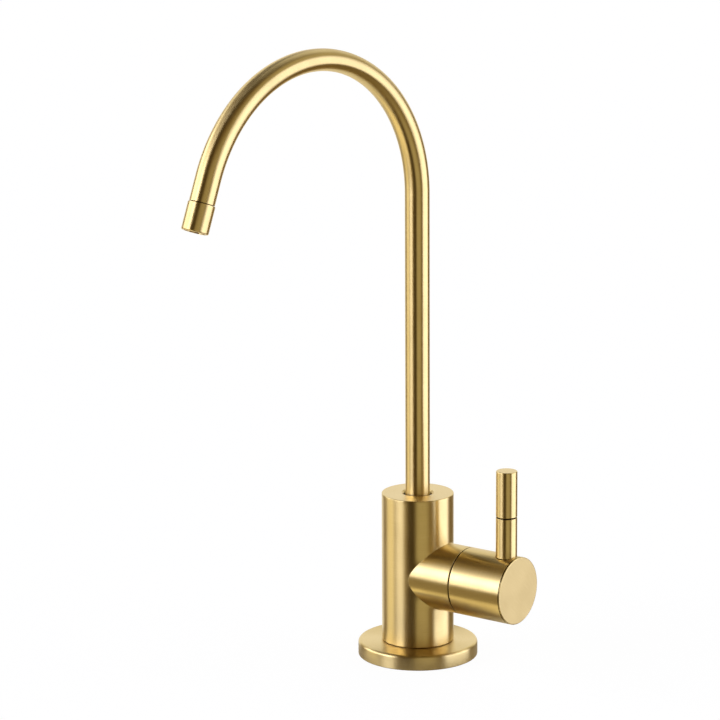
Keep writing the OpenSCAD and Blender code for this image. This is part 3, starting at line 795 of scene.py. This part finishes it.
# Turned and moulded stocks: name, finish, roughness, metallic, grains in a metre, strength of the relief,
# and the share of the tint that its darkest blotches have.
STOCKS = {
    # Not a stock: painted shade for the seams, with a little tarnish
    "dark_seam": ("Dark seam", "seam", 0.6, 1.0, 3000.0, 0.15, 0.6),
    "raw_brass": ("Raw brass", "brass", 0.32, 1.0, 1800.0, 0.1, 0.82),
    "plain_steel": ("Plain steel", "steel", 0.34, 1.0, 1800.0, 0.1, 0.82),
    "white_ceramic": ("White ceramic", "ceramic", 0.22, 0.0, 900.0, 0.03, 0.95),
    "black_rubber": ("Black rubber", "rubber", 0.62, 0.0, 3200.0, 0.15, 0.7),
    "dark_nylon": ("Dark nylon", "nylon", 0.48, 0.0, 2600.0, 0.15, 0.75),
    "white_plastic": ("White plastic", "plastic", 0.42, 0.0, 2200.0, 0.08, 0.94),
}


def stock(name, finish, roughness, metallic, grains, strength, darkest):
    """Turned or moulded stock: a tint with fine grains, slow blotches and a light relief."""
    found = bpy.data.materials.get(name)
    if found:
        return found
    tint = getattr(finishes(), finish)
    made, tree, shader = new_material(name)
    spot = add(tree, "ShaderNodeTexCoord")
    speckle = add(tree, "ShaderNodeGroup", node_tree=speckle_group())
    speckle.inputs["Grains"].default_value = grains
    tree.links.new(spot.outputs["Object"], speckle.inputs["Place"])
    darker = [channel * darkest for channel in tint]
    tone = mix_colour(tree, vary(tree, speckle.outputs["Blotches"], 0.0, 1.0), darker, tint)
    smoothest = roughness - STOCK_SPREAD
    rough = vary(tree, speckle.outputs["Grains"], smoothest, smoothest + 2 * STOCK_SPREAD)
    feed(tree, shader, tone, rough, speckle.outputs["Grains"], strength, GRAIN_RELIEF)
    shader.inputs["Metallic"].default_value = metallic
    return made


def material_of(slot):
    """Material of a slot, made when it is first asked for."""
    if slot == "brushed_gold":
        return brushed_gold()
    return stock(*STOCKS[slot])


# The pieces

class TAP_OT_flange(bpy.types.Operator):
    """Model the deck flange with its recess for the gasket"""

    bl_idname = "tap.flange"
    bl_label = "Flange"

    def execute(self, context):
        s = sizes()
        hole = SHANK_HIGH.x + s.shank_gap
        recess = GASKET_HIGH.x + s.fit_gap
        obj = turn("flange_turned", [
            (hole, GASKET_HIGH.z, 0),
            (recess, GASKET_HIGH.z, 0),
            (recess, 0, 0),
            (FLANGE_HIGH.x, 0, s.edge_round),
            (FLANGE_HIGH.x, FLANGE_HIGH.z, s.flange_round),
            (hole, FLANGE_HIGH.z, 0),
        ], looped=True)
        smooth(obj)
        chart = RoundChart((0, 0, 0), (0, 0, 1), FLANGE_HIGH.x, rings=True)
        lay_grain(obj, chart)
        dress(obj, "flange", "tap_body", "brushed_gold")
        return {"FINISHED"}


class TAP_OT_body(bpy.types.Operator):
    """Model the column and branch in one, with the fillet between them and the seats inside"""

    bl_idname = "tap.body"
    bl_label = "Column and branch"

    def execute(self, context):
        s = sizes()
        mesh = bmesh.new()
        foot_z = BODY_LOW.z + s.shadow_gap
        low = foot_z + s.edge_round
        high = COLUMN_TOP - s.edge_round
        corner = math.atan2(math.pi * COLUMN_R, (high - low) / 2)
        angles = rim_angles(corner)
        arcs = [self.fillet_arc(turned) for turned in angles]
        rim = [arc[0] for arc in arcs]
        wall_round_opening(mesh, COLUMN_R, rim, math.pi, low, high, 0)
        skin(mesh, [ring_of(mesh, points) for points in zip(*arcs)])
        self.branch(mesh, angles, [arc[-1] for arc in arcs])
        around = spread(-math.pi, math.pi, ACROSS_STEPS)
        self.column_top(mesh, around)
        self.column_foot(mesh, around, foot_z)
        obj = piece_from(mesh, "column_and_branch")
        smooth(obj)
        lay_grain(obj, BodyChart())
        dress(obj, "body", "tap_body", "brushed_gold")
        # Painted shade, with a little tarnish, on the branch's end face in the seam and on the foot in
        # the shadow gap
        paint_seam_shade(obj, lambda middle: middle.x > BRANCH_REACH - PICK or middle.z < foot_z + PICK)
        return {"FINISHED"}

    def fillet_arc(self, turned):
        """Arc of a ball in the corner, from the column's wall to the branch's, at a turn from the top."""
        ball = sizes().fillet
        off_branch = Vector((0, math.sin(turned), math.cos(turned)))
        across = (BRANCH_R + ball) * off_branch.y
        out = math.sqrt((COLUMN_R + ball) ** 2 - across ** 2)
        centre = Vector((out, across, BRANCH_Z + (BRANCH_R + ball) * off_branch.z))
        to_column = -Vector((out, across, 0)).normalized()
        return [
            centre + ball * to_column.slerp(-off_branch, step / FILLET_STEPS)
            for step in range(FILLET_STEPS + 1)
        ]

    def branch(self, mesh, angles, start):
        """Branch from the fillet out to its end, and the cartridge's thread and cavity in it."""
        s = sizes()
        thread_r = HOUSING_HIGH.y + s.fit_gap
        thread_x = BRANCH_REACH - s.thread
        wall_end = BRANCH_REACH - s.seam_round
        rings = []
        for step in range(BRANCH_STEPS + 1):
            out = step / BRANCH_STEPS
            rings.append(ring_of(mesh, [
                Vector((point.x * (1 - out) + wall_end * out, point.y, point.z)) for point in start
            ]))
        skin(mesh, rings)
        stations = quarter(BRANCH_R, BRANCH_REACH, s.seam_round, 1)
        stations += [
            (thread_r, BRANCH_REACH), (thread_r, thread_x),
            (s.cavity_radius, thread_x), (s.cavity_radius, s.seat_x),
        ]
        turned_rings(mesh, angles, stations, lambda radius, turned, run: Vector((
            run, radius * math.sin(turned), BRANCH_Z + radius * math.cos(turned)
        )))

    def column_top(self, mesh, around):
        """Top of the column, with the chamfered mouth and the seat of the spout."""
        s = sizes()
        ledge = COLUMN_TOP - s.ledge_depth
        stations = quarter(COLUMN_R, COLUMN_TOP, s.edge_round, 1)
        stations += [
            (s.mouth_radius + s.mouth_chamfer, COLUMN_TOP),
            (s.mouth_radius, COLUMN_TOP - s.mouth_chamfer),
            (s.mouth_radius, ledge),
            (s.socket_radius, ledge),
            (s.socket_radius, INSERT_LOW.z - s.fit_gap),
        ]
        turned_rings(mesh, around, stations)

    def column_foot(self, mesh, around, foot_z):
        """Foot of the column in the shadow gap, with the hole for the shank."""
        s = sizes()
        hole = SHANK_HIGH.x + s.fit_gap
        stations = quarter(COLUMN_R, foot_z, s.edge_round, -1)
        stations += [
            (s.foot_radius, foot_z), (s.foot_radius, BODY_LOW.z), (hole, BODY_LOW.z),
            (hole, SHANK_HIGH.z + s.shank_hole_rise),
        ]
        turned_rings(mesh, around, stations)


class TAP_OT_barrel(bpy.types.Operator):
    """Model the handle's barrel, with the lever's seat and the grub screw's hole"""

    bl_idname = "tap.barrel"
    bl_label = "Handle barrel"

    def execute(self, context):
        s = sizes()
        mesh = bmesh.new()
        low = BARREL_LOW.x + s.seam_round
        cap = BARREL_HIGH.x - s.end_round
        high = cap - s.cap_seam
        half = math.pi / 2
        corner = math.atan2(half * BRANCH_R, (high - low) / 2)
        angles = rim_angles(corner)
        seat_floor = BRANCH_R - s.lever_seat
        self.pocket(mesh, angles, LEVER_X, LEVER_R + s.seat_gap, seat_floor, low, high, 0)
        grub_top = BRANCH_Z - GRUB_HIGH.z
        self.pocket(mesh, angles, GRUB_X, GRUB_R + s.fit_gap, grub_top, low, high, math.pi)
        around = spread(-half, half, ACROSS_STEPS)
        around += [turned + math.pi for turned in around]
        bore = BRANCH_R - s.barrel_wall
        web = CLIP_HIGH.x + s.shadow_gap
        inner = quarter(BRANCH_R, BARREL_LOW.x, s.seam_round, -1)
        inner += [(bore, BARREL_LOW.x), (bore, web)]
        turned_rings(mesh, around, inner)
        groove = BRANCH_R - s.cap_seam
        outer = [(BRANCH_R, high), (groove, high), (groove, cap)]
        outer += quarter(BRANCH_R, BARREL_HIGH.x, s.end_round, 1)
        turned_rings(mesh, around, outer)
        obj = piece_from(mesh, "barrel_turned")
        place(obj, along_x())
        smooth(obj)
        chart = RoundChart((0, 0, BRANCH_Z), (1, 0, 0), BRANCH_R)
        lay_grain(obj, chart)
        dress(obj, "handle_barrel", "handle", "brushed_gold")
        # Painted shade, with a little tarnish, in the seam to the branch, the end cap's seam and the
        # lever's seat
        paint_seam_shade(obj, lambda middle: self.in_seam(middle, high, cap, seat_floor))
        return {"FINISHED"}

    def in_seam(self, middle, high, cap, seat_floor):
        """Whether a face is in the seam to the branch, the seam of the end cap or the lever's seat."""
        s = sizes()
        if middle.x < BARREL_LOW.x + PICK:
            return True
        from_axis = math.hypot(middle.y, middle.z - BRANCH_Z)
        if high - PICK < middle.x < cap + PICK and from_axis < BRANCH_R - s.cap_seam / 4:
            return True
        from_lever = math.hypot(middle.x - LEVER_X, middle.y)
        return from_lever < LEVER_R + s.seat_gap + PICK and middle.z > BRANCH_Z + seat_floor - PICK

    def pocket(self, mesh, angles, run, radius, floor, low, high, facing):
        """Half of the barrel's wall round a pocket, whose flat floor has a distance from the axis."""
        rim = []
        for turned in angles:
            across = radius * math.sin(turned)
            rim.append(Vector((
                math.sqrt(BRANCH_R ** 2 - across ** 2), across, run + radius * math.cos(turned)
            )))
        wall_round_opening(mesh, BRANCH_R, rim, math.pi / 2, low, high, facing)
        about = Matrix.Rotation(facing, 3, "Z")
        top = ring_of(mesh, [about @ point for point in rim])
        bottom = ring_of(mesh, [about @ Vector((floor, point.y, point.z)) for point in rim])
        skin(mesh, [top, bottom])
        mesh.faces.new(bottom)


class TAP_OT_lever(bpy.types.Operator):
    """Model the two halves of the lever, with the groove between them"""

    bl_idname = "tap.lever"
    bl_label = "Lever"

    def execute(self, context):
        s = sizes()
        foot = BRANCH_Z + BRANCH_R - s.lever_seat + s.lever_lift
        neck = LEVER_R - s.neck_inset
        stem = turn("stem_turned", [
            (s.stud_radius, STEM_LOW.z, 0),
            (s.stud_radius, foot, 0),
            (LEVER_R, foot, s.foot_round),
            (LEVER_R, STEM_HIGH.z, s.fine_round),
        ])
        start = STEM_HIGH.z + s.lever_groove
        grip = turn("grip_turned", [
            (neck, STEM_HIGH.z, 0),
            (neck, start, 0),
            (LEVER_R, start, s.fine_round),
            (LEVER_R, GRIP_HIGH.z, s.edge_round),
        ])
        chart = RoundChart((LEVER_X, 0, 0), (0, 0, 1), LEVER_R)
        for obj, node in ((stem, "lever_stem"), (grip, "lever_grip")):
            place(obj, Matrix.Translation((LEVER_X, 0, 0)))
            smooth(obj)
            lay_grain(obj, chart)
            dress(obj, node, "handle", "brushed_gold")
        # Painted shade, with a little tarnish, on the stem's foot and on the faces round the groove
        paint_seam_shade(stem, lambda middle: middle.z < foot + PICK or middle.z > STEM_HIGH.z - PICK)
        paint_seam_shade(grip, lambda middle: middle.z < start + PICK)
        return {"FINISHED"}


class TAP_OT_spout(bpy.types.Operator):
    """Model the spout: a ring drawn up the riser, spun round the bend and drawn down the tail"""

    bl_idname = "tap.spout"
    bl_label = "Spout tube"

    def execute(self, context):
        s = sizes()
        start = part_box("spout_tube")[0].z
        obj = start_ring("spout_bent", s.tube_radius, start, TURN_STEPS // 2)
        rise = (s.riser_top - start) / RISER_STEPS
        for _ in range(RISER_STEPS):
            draw_out((0, 0, rise))
        centre = (0, -s.bend_radius, s.riser_top)
        bpy.ops.mesh.spin(steps=BEND_STEPS, angle=-s.bend_angle, center=centre, axis=(1, 0, 0))
        run = s.tail - s.nozzle_seam
        draw_out((0, -math.sin(s.bend_angle) * run, math.cos(s.bend_angle) * run))
        weld_all()
        bpy.ops.object.mode_set(mode="OBJECT")
        self.flatten(obj)
        place(obj, spout_place())
        apply_modifier(obj, "SOLIDIFY", thickness=s.tube_wall, offset=-1.0, use_even_offset=True)
        smooth(obj)
        lay_grain(obj, SpoutChart())
        dress(obj, "spout_tube", "spout", "brushed_gold")
        return {"FINISHED"}

    def flatten(self, obj):
        """Flatten the tube in the bend's plane, as bending does, most in the middle of the bend."""
        s = sizes()
        centre = Vector((0, -s.bend_radius, s.riser_top))
        for vertex in obj.data.vertices:
            off = vertex.co - centre
            bent = math.atan2(off.z, off.y)
            if 0 < bent < s.bend_angle:
                out = math.hypot(off.y, off.z)
                loss = s.bend_flat * math.sin(math.pi * bent / s.bend_angle) ** 2
                factor = 1 + loss * (s.bend_radius - out) / out
                vertex.co = centre + Vector((off.x, off.y * factor, off.z * factor))


class TAP_OT_nozzle(bpy.types.Operator):
    """Model the nozzle with its spigot, outlet bore and rounded lips"""

    bl_idname = "tap.nozzle"
    bl_label = "Nozzle"

    def execute(self, context):
        s = sizes()
        radius = s.tube_radius + s.nozzle_proud
        outlet = radius - s.nozzle_wall
        spigot = s.tube_radius - s.tube_wall - s.fit_gap
        way = spigot - s.tube_wall
        step = s.nozzle_length - s.outlet_depth
        obj = turn("nozzle_turned", [
            (way, -s.nozzle_spigot, 0),
            (spigot, -s.nozzle_spigot, 0),
            (spigot, 0, 0),
            (radius, 0, s.fine_round),
            (radius, s.nozzle_length, s.nozzle_round),
            (outlet, s.nozzle_length, s.fine_round / 2),
            (outlet, step, 0),
            (way, step, 0),
        ], looped=True)
        tail = tail_place()
        seat = tail @ Matrix.Translation((0, 0, s.tail))
        place(obj, seat)
        smooth(obj)
        chart = RoundChart(tail.translation, tail.to_3x3() @ Vector((0, 0, 1)), radius)
        lay_grain(obj, chart)
        dress(obj, "nozzle", "spout", "brushed_gold")
        unseat = seat.inverted()
        # Painted shade, with a little tarnish, on the faces in the seam at the nozzle's shoulder
        paint_seam_shade(obj, lambda middle: (unseat @ middle).z < PICK)
        return {"FINISHED"}


class TAP_OT_bush(bpy.types.Operator):
    """Model the nylon bush in the mouth of the column"""

    bl_idname = "tap.bush"
    bl_label = "Guide bush"

    def execute(self, context):
        s = sizes()
        bore = s.tube_radius + s.fit_gap
        obj = turn("bush_moulded", [
            (bore, BUSH_LOW.z, 0),
            (BUSH_HIGH.x, BUSH_LOW.z, s.fine_round),
            (BUSH_HIGH.x, BUSH_HIGH.z, s.fine_round),
            (bore, BUSH_HIGH.z, s.fine_round),
        ], looped=True)
        smooth(obj)
        dress(obj, "guide_bush", "tap_body", "dark_nylon")
        return {"FINISHED"}


class TAP_OT_clamp(bpy.types.Operator):
    """Model the threaded shank, and the washers and nut that clamp the tap to a deck"""

    bl_idname = "tap.clamp"
    bl_label = "Shank and clamp"

    def execute(self, context):
        s = sizes()
        self.shank()
        hole = SHANK_HIGH.x + s.shank_gap
        washers = (
            ("rubber_washer_moulded", "deck_rubber_washer", "black_rubber", s.washer_round),
            ("steel_washer_punched", "deck_steel_washer", "plain_steel", s.edge_round),
        )
        for name, node, slot, width in washers:
            low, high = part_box(node)
            obj = turn(name, [
                (hole, low.z, s.fine_round),
                (high.x, low.z, width),
                (high.x, high.z, width),
                (hole, high.z, s.fine_round),
            ], looped=True)
            smooth(obj)
            dress(obj, node, "tap_body", slot)
        self.nut()
        return {"FINISHED"}

    def shank(self):
        """Hollow shank with a helical thread that ends in the chamfers."""
        s = sizes()
        mesh = bmesh.new()
        run = SHANK_HIGH.z - SHANK_LOW.z
        rows = round(run / s.thread_pitch * THREAD_STEPS)
        around = spread(0, 2 * math.pi, THREAD_SIDES)
        rings = []
        for row in range(rows + 1):
            height = SHANK_LOW.z + run * row / rows
            from_end = min(height - SHANK_LOW.z, SHANK_HIGH.z - height)
            most = SHANK_HIGH.y - s.shank_chamfer + from_end
            points = []
            for turned in around:
                phase = 2 * math.pi * height / s.thread_pitch - turned
                thread = SHANK_HIGH.y - s.thread_depth * (0.5 - 0.5 * math.cos(phase))
                points.append(upright(min(thread, most), turned, height))
            rings.append(ring_of(mesh, points))
        for height in (SHANK_HIGH.z, SHANK_LOW.z):
            rings.append(ring_of(mesh, [upright(s.shank_bore, turned, height) for turned in around]))
        skin(mesh, rings + rings[:1])
        obj = piece_from(mesh, "shank_threaded")
        smooth(obj, THREAD_ANGLE)
        dress(obj, "shank", "tap_body", "raw_brass")

    def nut(self):
        """Lock nut: a chamfered blank, cut to a hexagon."""
        s = sizes()
        bore = SHANK_HIGH.y + s.fit_gap
        mouth = bore + s.bore_chamfer
        corner = NUT_HIGH.x + s.fit_gap
        obj = turn("lock_nut_turned", [
            (bore, NUT_LOW.z + s.bore_chamfer, 0),
            (mouth, NUT_LOW.z, 0),
            (NUT_HIGH.y - s.fine_round, NUT_LOW.z, s.fine_round),
            (corner, NUT_LOW.z + s.hex_chamfer, 0),
            (corner, NUT_HIGH.z - s.hex_chamfer, 0),
            (NUT_HIGH.y - s.fine_round, NUT_HIGH.z, s.fine_round),
            (mouth, NUT_HIGH.z, 0),
            (bore, NUT_HIGH.z - s.bore_chamfer, 0),
        ], looped=True)
        cut_to_hexagon(obj, NUT_LOW, NUT_HIGH)
        smooth(obj)
        dress(obj, "lock_nut", "tap_body", "raw_brass")


class TAP_OT_inlet(bpy.types.Operator):
    """Model the push-fit adapter under the shank, and the slotted collet in its mouth"""

    bl_idname = "tap.inlet"
    bl_label = "Push-fit inlet"

    def execute(self, context):
        self.adapter()
        self.collet()
        return {"FINISHED"}

    def adapter(self):
        """Adapter: hexagon above, round below with two grip grooves, and stepped inside."""
        s = sizes()
        bore = SHANK_HIGH.y + s.fit_gap
        corner = ADAPTER_HIGH.x + s.fit_gap
        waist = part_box("adapter_gasket")[0].z
        stop = waist - s.throat
        mouth = SEAL_HIGH.z + s.fit_gap
        chamber = SEAL_HIGH.x + s.fit_gap
        lip = ADAPTER_LOW.z + s.lip
        outside = [
            (s.lip_radius, ADAPTER_LOW.z, s.fine_round),
            (s.adapter_radius, ADAPTER_LOW.z, s.flange_round),
        ]
        for share_up in GRIP_GROOVES:
            groove = ADAPTER_LOW.z + (waist - ADAPTER_LOW.z) * share_up
            outside += [
                (s.adapter_radius, groove - s.adapter_groove, s.fine_round),
                (s.adapter_radius - s.adapter_groove, groove, 0),
                (s.adapter_radius, groove + s.adapter_groove, s.fine_round),
            ]
        outside += [
            (s.adapter_radius, waist, 0),
            (ADAPTER_HIGH.y - s.fine_round, waist, 0),
            (corner, waist + s.hex_chamfer, 0),
            (corner, ADAPTER_HIGH.z - s.hex_chamfer, 0),
            (ADAPTER_HIGH.y - s.fine_round, ADAPTER_HIGH.z, s.fine_round),
        ]
        inside = [
            (bore + s.bore_chamfer, ADAPTER_HIGH.z, 0),
            (bore, ADAPTER_HIGH.z - s.bore_chamfer, 0),
            (bore, waist, 0),
            (s.throat_radius, waist, 0),
            (s.throat_radius, stop, 0),
            (s.supply_radius, stop, 0),
            (s.supply_radius, mouth, 0),
            (chamber, mouth, 0),
            (chamber, lip, 0),
            (s.lip_radius, lip, 0),
        ]
        obj = turn("adapter_moulded", outside + inside, looped=True)
        cut_to_hexagon(obj, ADAPTER_LOW, ADAPTER_HIGH)
        smooth(obj)
        dress(obj, "inlet_adapter", "tap_body", "white_plastic")

    def collet(self):
        """Collet: a ring to push, and a sleeve with teeth that four slots part."""
        s = sizes()
        bore = s.supply_radius + s.fit_gap
        sleeve = bore + s.collet_wall
        lip = ADAPTER_LOW.z + s.lip
        head = COLLET_LOW.z + s.collet_head
        catch = lip + s.catch_gap
        obj = turn("collet_moulded", [
            (bore, COLLET_LOW.z, s.fine_round),
            (COLLET_HIGH.x, COLLET_LOW.z, s.edge_round),
            (COLLET_HIGH.x, head, s.edge_round),
            (sleeve, head, 0),
            (sleeve, catch, 0),
            (s.collet_catch, catch, s.fine_round),
            (s.collet_catch, COLLET_HIGH.z - s.collet_head, 0),
            (sleeve, COLLET_HIGH.z, 0),
            (bore, COLLET_HIGH.z, 0),
        ], looped=True)
        low = lip - s.lip / 2
        high = COLLET_HIGH.z + REACH
        middle = Matrix.Translation((0, 0, (low + high) / 2))
        slot = middle @ Matrix.Diagonal((2 * COLLET_HIGH.x, s.collet_slot, high - low, 1))
        for turned in (0, math.pi / 2):
            bpy.ops.object.select_all(action="DESELECT")
            bpy.ops.mesh.primitive_cube_add(size=1)
            tool = bpy.context.object
            place(tool, Matrix.Rotation(turned, 4, "Z") @ slot)
            cut(obj, tool, "DIFFERENCE")
        smooth(obj)
        dress(obj, "collet", "collet", "white_plastic")


class TAP_OT_inner(bpy.types.Operator):
    """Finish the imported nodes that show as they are, each with its slot's material"""

    bl_idname = "tap.inner"
    bl_label = "Inner pieces"

    def execute(self, context):
        for row in frame["record"]["subparts"]:
            obj = frame["nodes"][row["node"]]
            if obj.hide_render:
                continue
            obj.data.materials.clear()
            obj.data.materials.append(material_of(row["material_slot"]))
        return {"FINISHED"}


# The stage

DAYLIGHT = Vector((0.97, 1.03, 1.4))
PLAIN = Vector((1.0, 0.91, 0.66))
AMBER = Vector((1.0, 0.71, 0.34))

# Soft boxes, flags and walls of the studio as seen from the tap: name, left, right, bottom and top edge
# in degrees from the camera's direction and the level, softness of the edges, brightness and tint.
PANELS = (
    ("room", -142, 136, -90, 90, 10, 0.19, AMBER),
    ("ceiling", -200, 200, 62, 100, 8, 0.06, AMBER),
    ("top flag", -182, -128, 38, 78, 5, 0.03, AMBER),
    ("left reflector", -122, -44, -66, -36, 5, 1.45, PLAIN),
    ("left glow", -130, -54, 1, 39, 6, 0.75, PLAIN),
    ("left soft box", -124, -58, 7, 32, 5, 3.0, DAYLIGHT),
    ("left side strip", -116, -84, -31, 6, 5, 0.95, PLAIN),
    ("left strip", -70, -46, -2, 30, 5, 4.2, DAYLIGHT),
    ("front fill", -7, 35, -54, 20, 8, 0.54, PLAIN),
    ("right scrim", 56, 142, 28, 58, 8, 0.60, PLAIN),
    ("right soft box", 54, 113, -30, 32, 6, 2.1, DAYLIGHT),
    ("flag", -35, -8, -75, 72, 7, 0.06, AMBER),
    ("right flag", 123, 158, -48, 0, 6, 0.20, AMBER),
)


def soft_panel_group():
    """Mask of a panel between two angles each way, with soft edges."""
    tree, start, end = new_group(
        "Soft panel",
        [
            (name, "NodeSocketFloat", 0.0)
            for name in ("Turn", "Rise", "Left", "Right", "Bottom", "Top", "Softness")
        ],
        [("Mask", "NodeSocketFloat")],
    )
    mask = None
    for past_edge in (("Turn", "Left"), ("Right", "Turn"), ("Rise", "Bottom"), ("Top", "Rise")):
        past = maths(tree, "SUBTRACT", *(start.outputs[name] for name in past_edge))
        past = maths(tree, "DIVIDE", past, start.outputs["Softness"])
        ramp = add(tree, "ShaderNodeMapRange", [
            ("Value", past), ("From Min", -1.0), ("From Max", 1.0),
        ], interpolation_type="SMOOTHSTEP")
        mask = ramp.outputs[0] if mask is None else maths(tree, "MULTIPLY", mask, ramp.outputs[0])
    tree.links.new(mask, end.inputs["Mask"])
    return tree


def seen_by_camera(tree):
    """Whether a ray comes from the camera."""
    path = add(tree, "ShaderNodeLightPath")
    return maths(tree, "MAXIMUM", path.outputs["Is Camera Ray"], path.outputs["Is Transmission Ray"])


class TAP_OT_stage(bpy.types.Operator):
    """Set the camera, the floor and the studio round the tap"""

    bl_idname = "tap.stage"
    bl_label = "Stage"

    def execute(self, context):
        self.camera(context)
        self.floor()
        self.studio(context)
        context.scene.view_settings.view_transform = "Standard"
        return {"FINISHED"}

    def camera(self, context):
        """Camera at its distance and height, turned, tilted and rolled."""
        t = stage_settings()
        data = bpy.data.cameras.new("Camera")
        data.lens = t.lens
        data.sensor_width = SENSOR_WIDTH
        camera = bpy.data.objects.new("Camera", data)
        context.scene.collection.objects.link(camera)
        towards = Vector((math.sin(t.azimuth), -math.cos(t.azimuth), 0))
        turned = Matrix.Rotation(t.azimuth - t.yaw, 4, "Z")
        tilted = Matrix.Rotation(math.pi / 2 - t.pitch, 4, "X")
        rolled = Matrix.Rotation(t.roll, 4, "Z")
        spot = Matrix.Translation(towards * t.distance + Vector((0, 0, t.height)))
        camera.matrix_world = spot @ turned @ tilted @ rolled
        context.scene.camera = camera

    def floor(self):
        """Pale floor with a hole for the shank. The metal shows only the part near the tap."""
        t = stage_settings()
        near = self.floor_ring("floor_near", t.deck_hole, t.floor_near)
        far = self.floor_ring("floor_far", t.floor_near, t.floor_radius)
        far.visible_glossy = False
        made = self.floor_material()
        for obj in (near, far):
            obj.data.materials.append(made)

    def floor_ring(self, name, inner, outer):
        """Flat ring of the floor between two radii."""
        obj = start_ring(name, inner, -stage_settings().floor_drop)
        bpy.ops.mesh.extrude_region_move()
        bpy.ops.transform.resize(value=(outer / inner, outer / inner, 1))
        weld_all()
        bpy.ops.object.mode_set(mode="OBJECT")
        return obj

    def floor_material(self):
        """Pale floor that is white to the camera but for the tap's shadow."""
        t = stage_settings()
        made, tree, shader = new_material("Pale floor")
        shader.inputs["Base Color"].default_value = (*t.floor, 1)
        shader.inputs["Roughness"].default_value = FLOOR_ROUGHNESS
        white = add(tree, "ShaderNodeEmission", [("Strength", t.floor_white)])
        lift = maths(tree, "MULTIPLY", seen_by_camera(tree), 1 - t.shade)
        blend = add(tree, "ShaderNodeMixShader", [
            (0, lift), (1, shader.outputs[0]), (2, white.outputs[0]),
        ])
        tree.links.new(blend.outputs[0], tree.nodes["Material Output"].inputs["Surface"])
        return made

    def studio(self, context):
        """World of soft boxes and flags, white behind the tap, and plain white to the camera."""
        t = stage_settings()
        world = bpy.data.worlds.new("Studio")
        context.scene.world = world
        world.use_nodes = True
        tree = world.node_tree
        tree.nodes.clear()
        spot = add(tree, "ShaderNodeTexCoord")
        parts = add(tree, "ShaderNodeSeparateXYZ", [(0, spot.outputs["Generated"])])
        ahead = maths(tree, "MULTIPLY", parts.outputs[1], -1.0)
        azimuth = maths(tree, "ARCTAN2", parts.outputs[0], ahead)
        azimuth = maths(tree, "SUBTRACT", azimuth, t.azimuth)
        azimuth = maths(tree, "WRAP", azimuth, math.pi, -math.pi)
        turned = maths(tree, "DEGREES", azimuth)
        rise = maths(tree, "DEGREES", maths(tree, "ARCSINE", parts.outputs[2]))
        panel = soft_panel_group()
        light = (t.backdrop, t.backdrop, t.backdrop)
        for name, left, right, bottom, top, softness, brightness, tint in PANELS:
            mask = add(tree, "ShaderNodeGroup", [
                ("Turn", turned), ("Rise", rise), ("Left", left), ("Right", right),
                ("Bottom", bottom), ("Top", top), ("Softness", softness),
            ], node_tree=panel, label=name)
            light = mix_colour(tree, mask.outputs[0], light, brightness * tint)
        studio = add(tree, "ShaderNodeBackground", [("Color", light), ("Strength", 1.0)])
        white = add(tree, "ShaderNodeBackground", [("Color", (1, 1, 1, 1)), ("Strength", 1.0)])
        blend = add(tree, "ShaderNodeMixShader", [
            (0, seen_by_camera(tree)), (1, studio.outputs[0]), (2, white.outputs[0]),
        ])
        end = add(tree, "ShaderNodeOutputWorld")
        tree.links.new(blend.outputs[0], end.inputs["Surface"])


class TAP_PT_panel(bpy.types.Panel):
    """The tap's sizes, finishes and pieces"""

    bl_idname = "TAP_PT_panel"
    bl_label = "Drinking Water Tap"
    bl_space_type = "VIEW_3D"
    bl_region_type = "UI"
    bl_category = "Tap"

    def draw(self, context):
        for group in (sizes(), finishes(), stage_settings()):
            rows = self.layout.box()
            for name in group.bl_rna.properties.keys():
                if name not in ("rna_type", "name"):
                    rows.prop(group, name)
        for operator in OPERATORS:
            self.layout.operator(operator.bl_idname)


OPERATORS = (
    TAP_OT_stage,
    TAP_OT_flange,
    TAP_OT_body,
    TAP_OT_barrel,
    TAP_OT_lever,
    TAP_OT_spout,
    TAP_OT_nozzle,
    TAP_OT_bush,
    TAP_OT_clamp,
    TAP_OT_inlet,
    TAP_OT_inner,
)
CLASSES = (TapSizes, TapFinish, TapStage, *OPERATORS, TAP_PT_panel)


def register():
    for made in CLASSES:
        bpy.utils.register_class(made)
    bpy.types.Scene.tap_sizes = PointerProperty(type=TapSizes)
    bpy.types.Scene.tap_finish = PointerProperty(type=TapFinish)
    bpy.types.Scene.tap_stage = PointerProperty(type=TapStage)


def unregister():
    del bpy.types.Scene.tap_stage
    del bpy.types.Scene.tap_finish
    del bpy.types.Scene.tap_sizes
    for made in reversed(CLASSES):
        bpy.utils.unregister_class(made)


def main():
    register()
    bpy.ops.tap.stage()
    bpy.ops.tap.flange()
    bpy.ops.tap.body()
    bpy.ops.tap.barrel()
    bpy.ops.tap.lever()
    bpy.ops.tap.spout()
    bpy.ops.tap.nozzle()
    bpy.ops.tap.bush()
    bpy.ops.tap.clamp()
    bpy.ops.tap.inlet()
    bpy.ops.tap.inner()


if __name__ == "__main__":
    main()
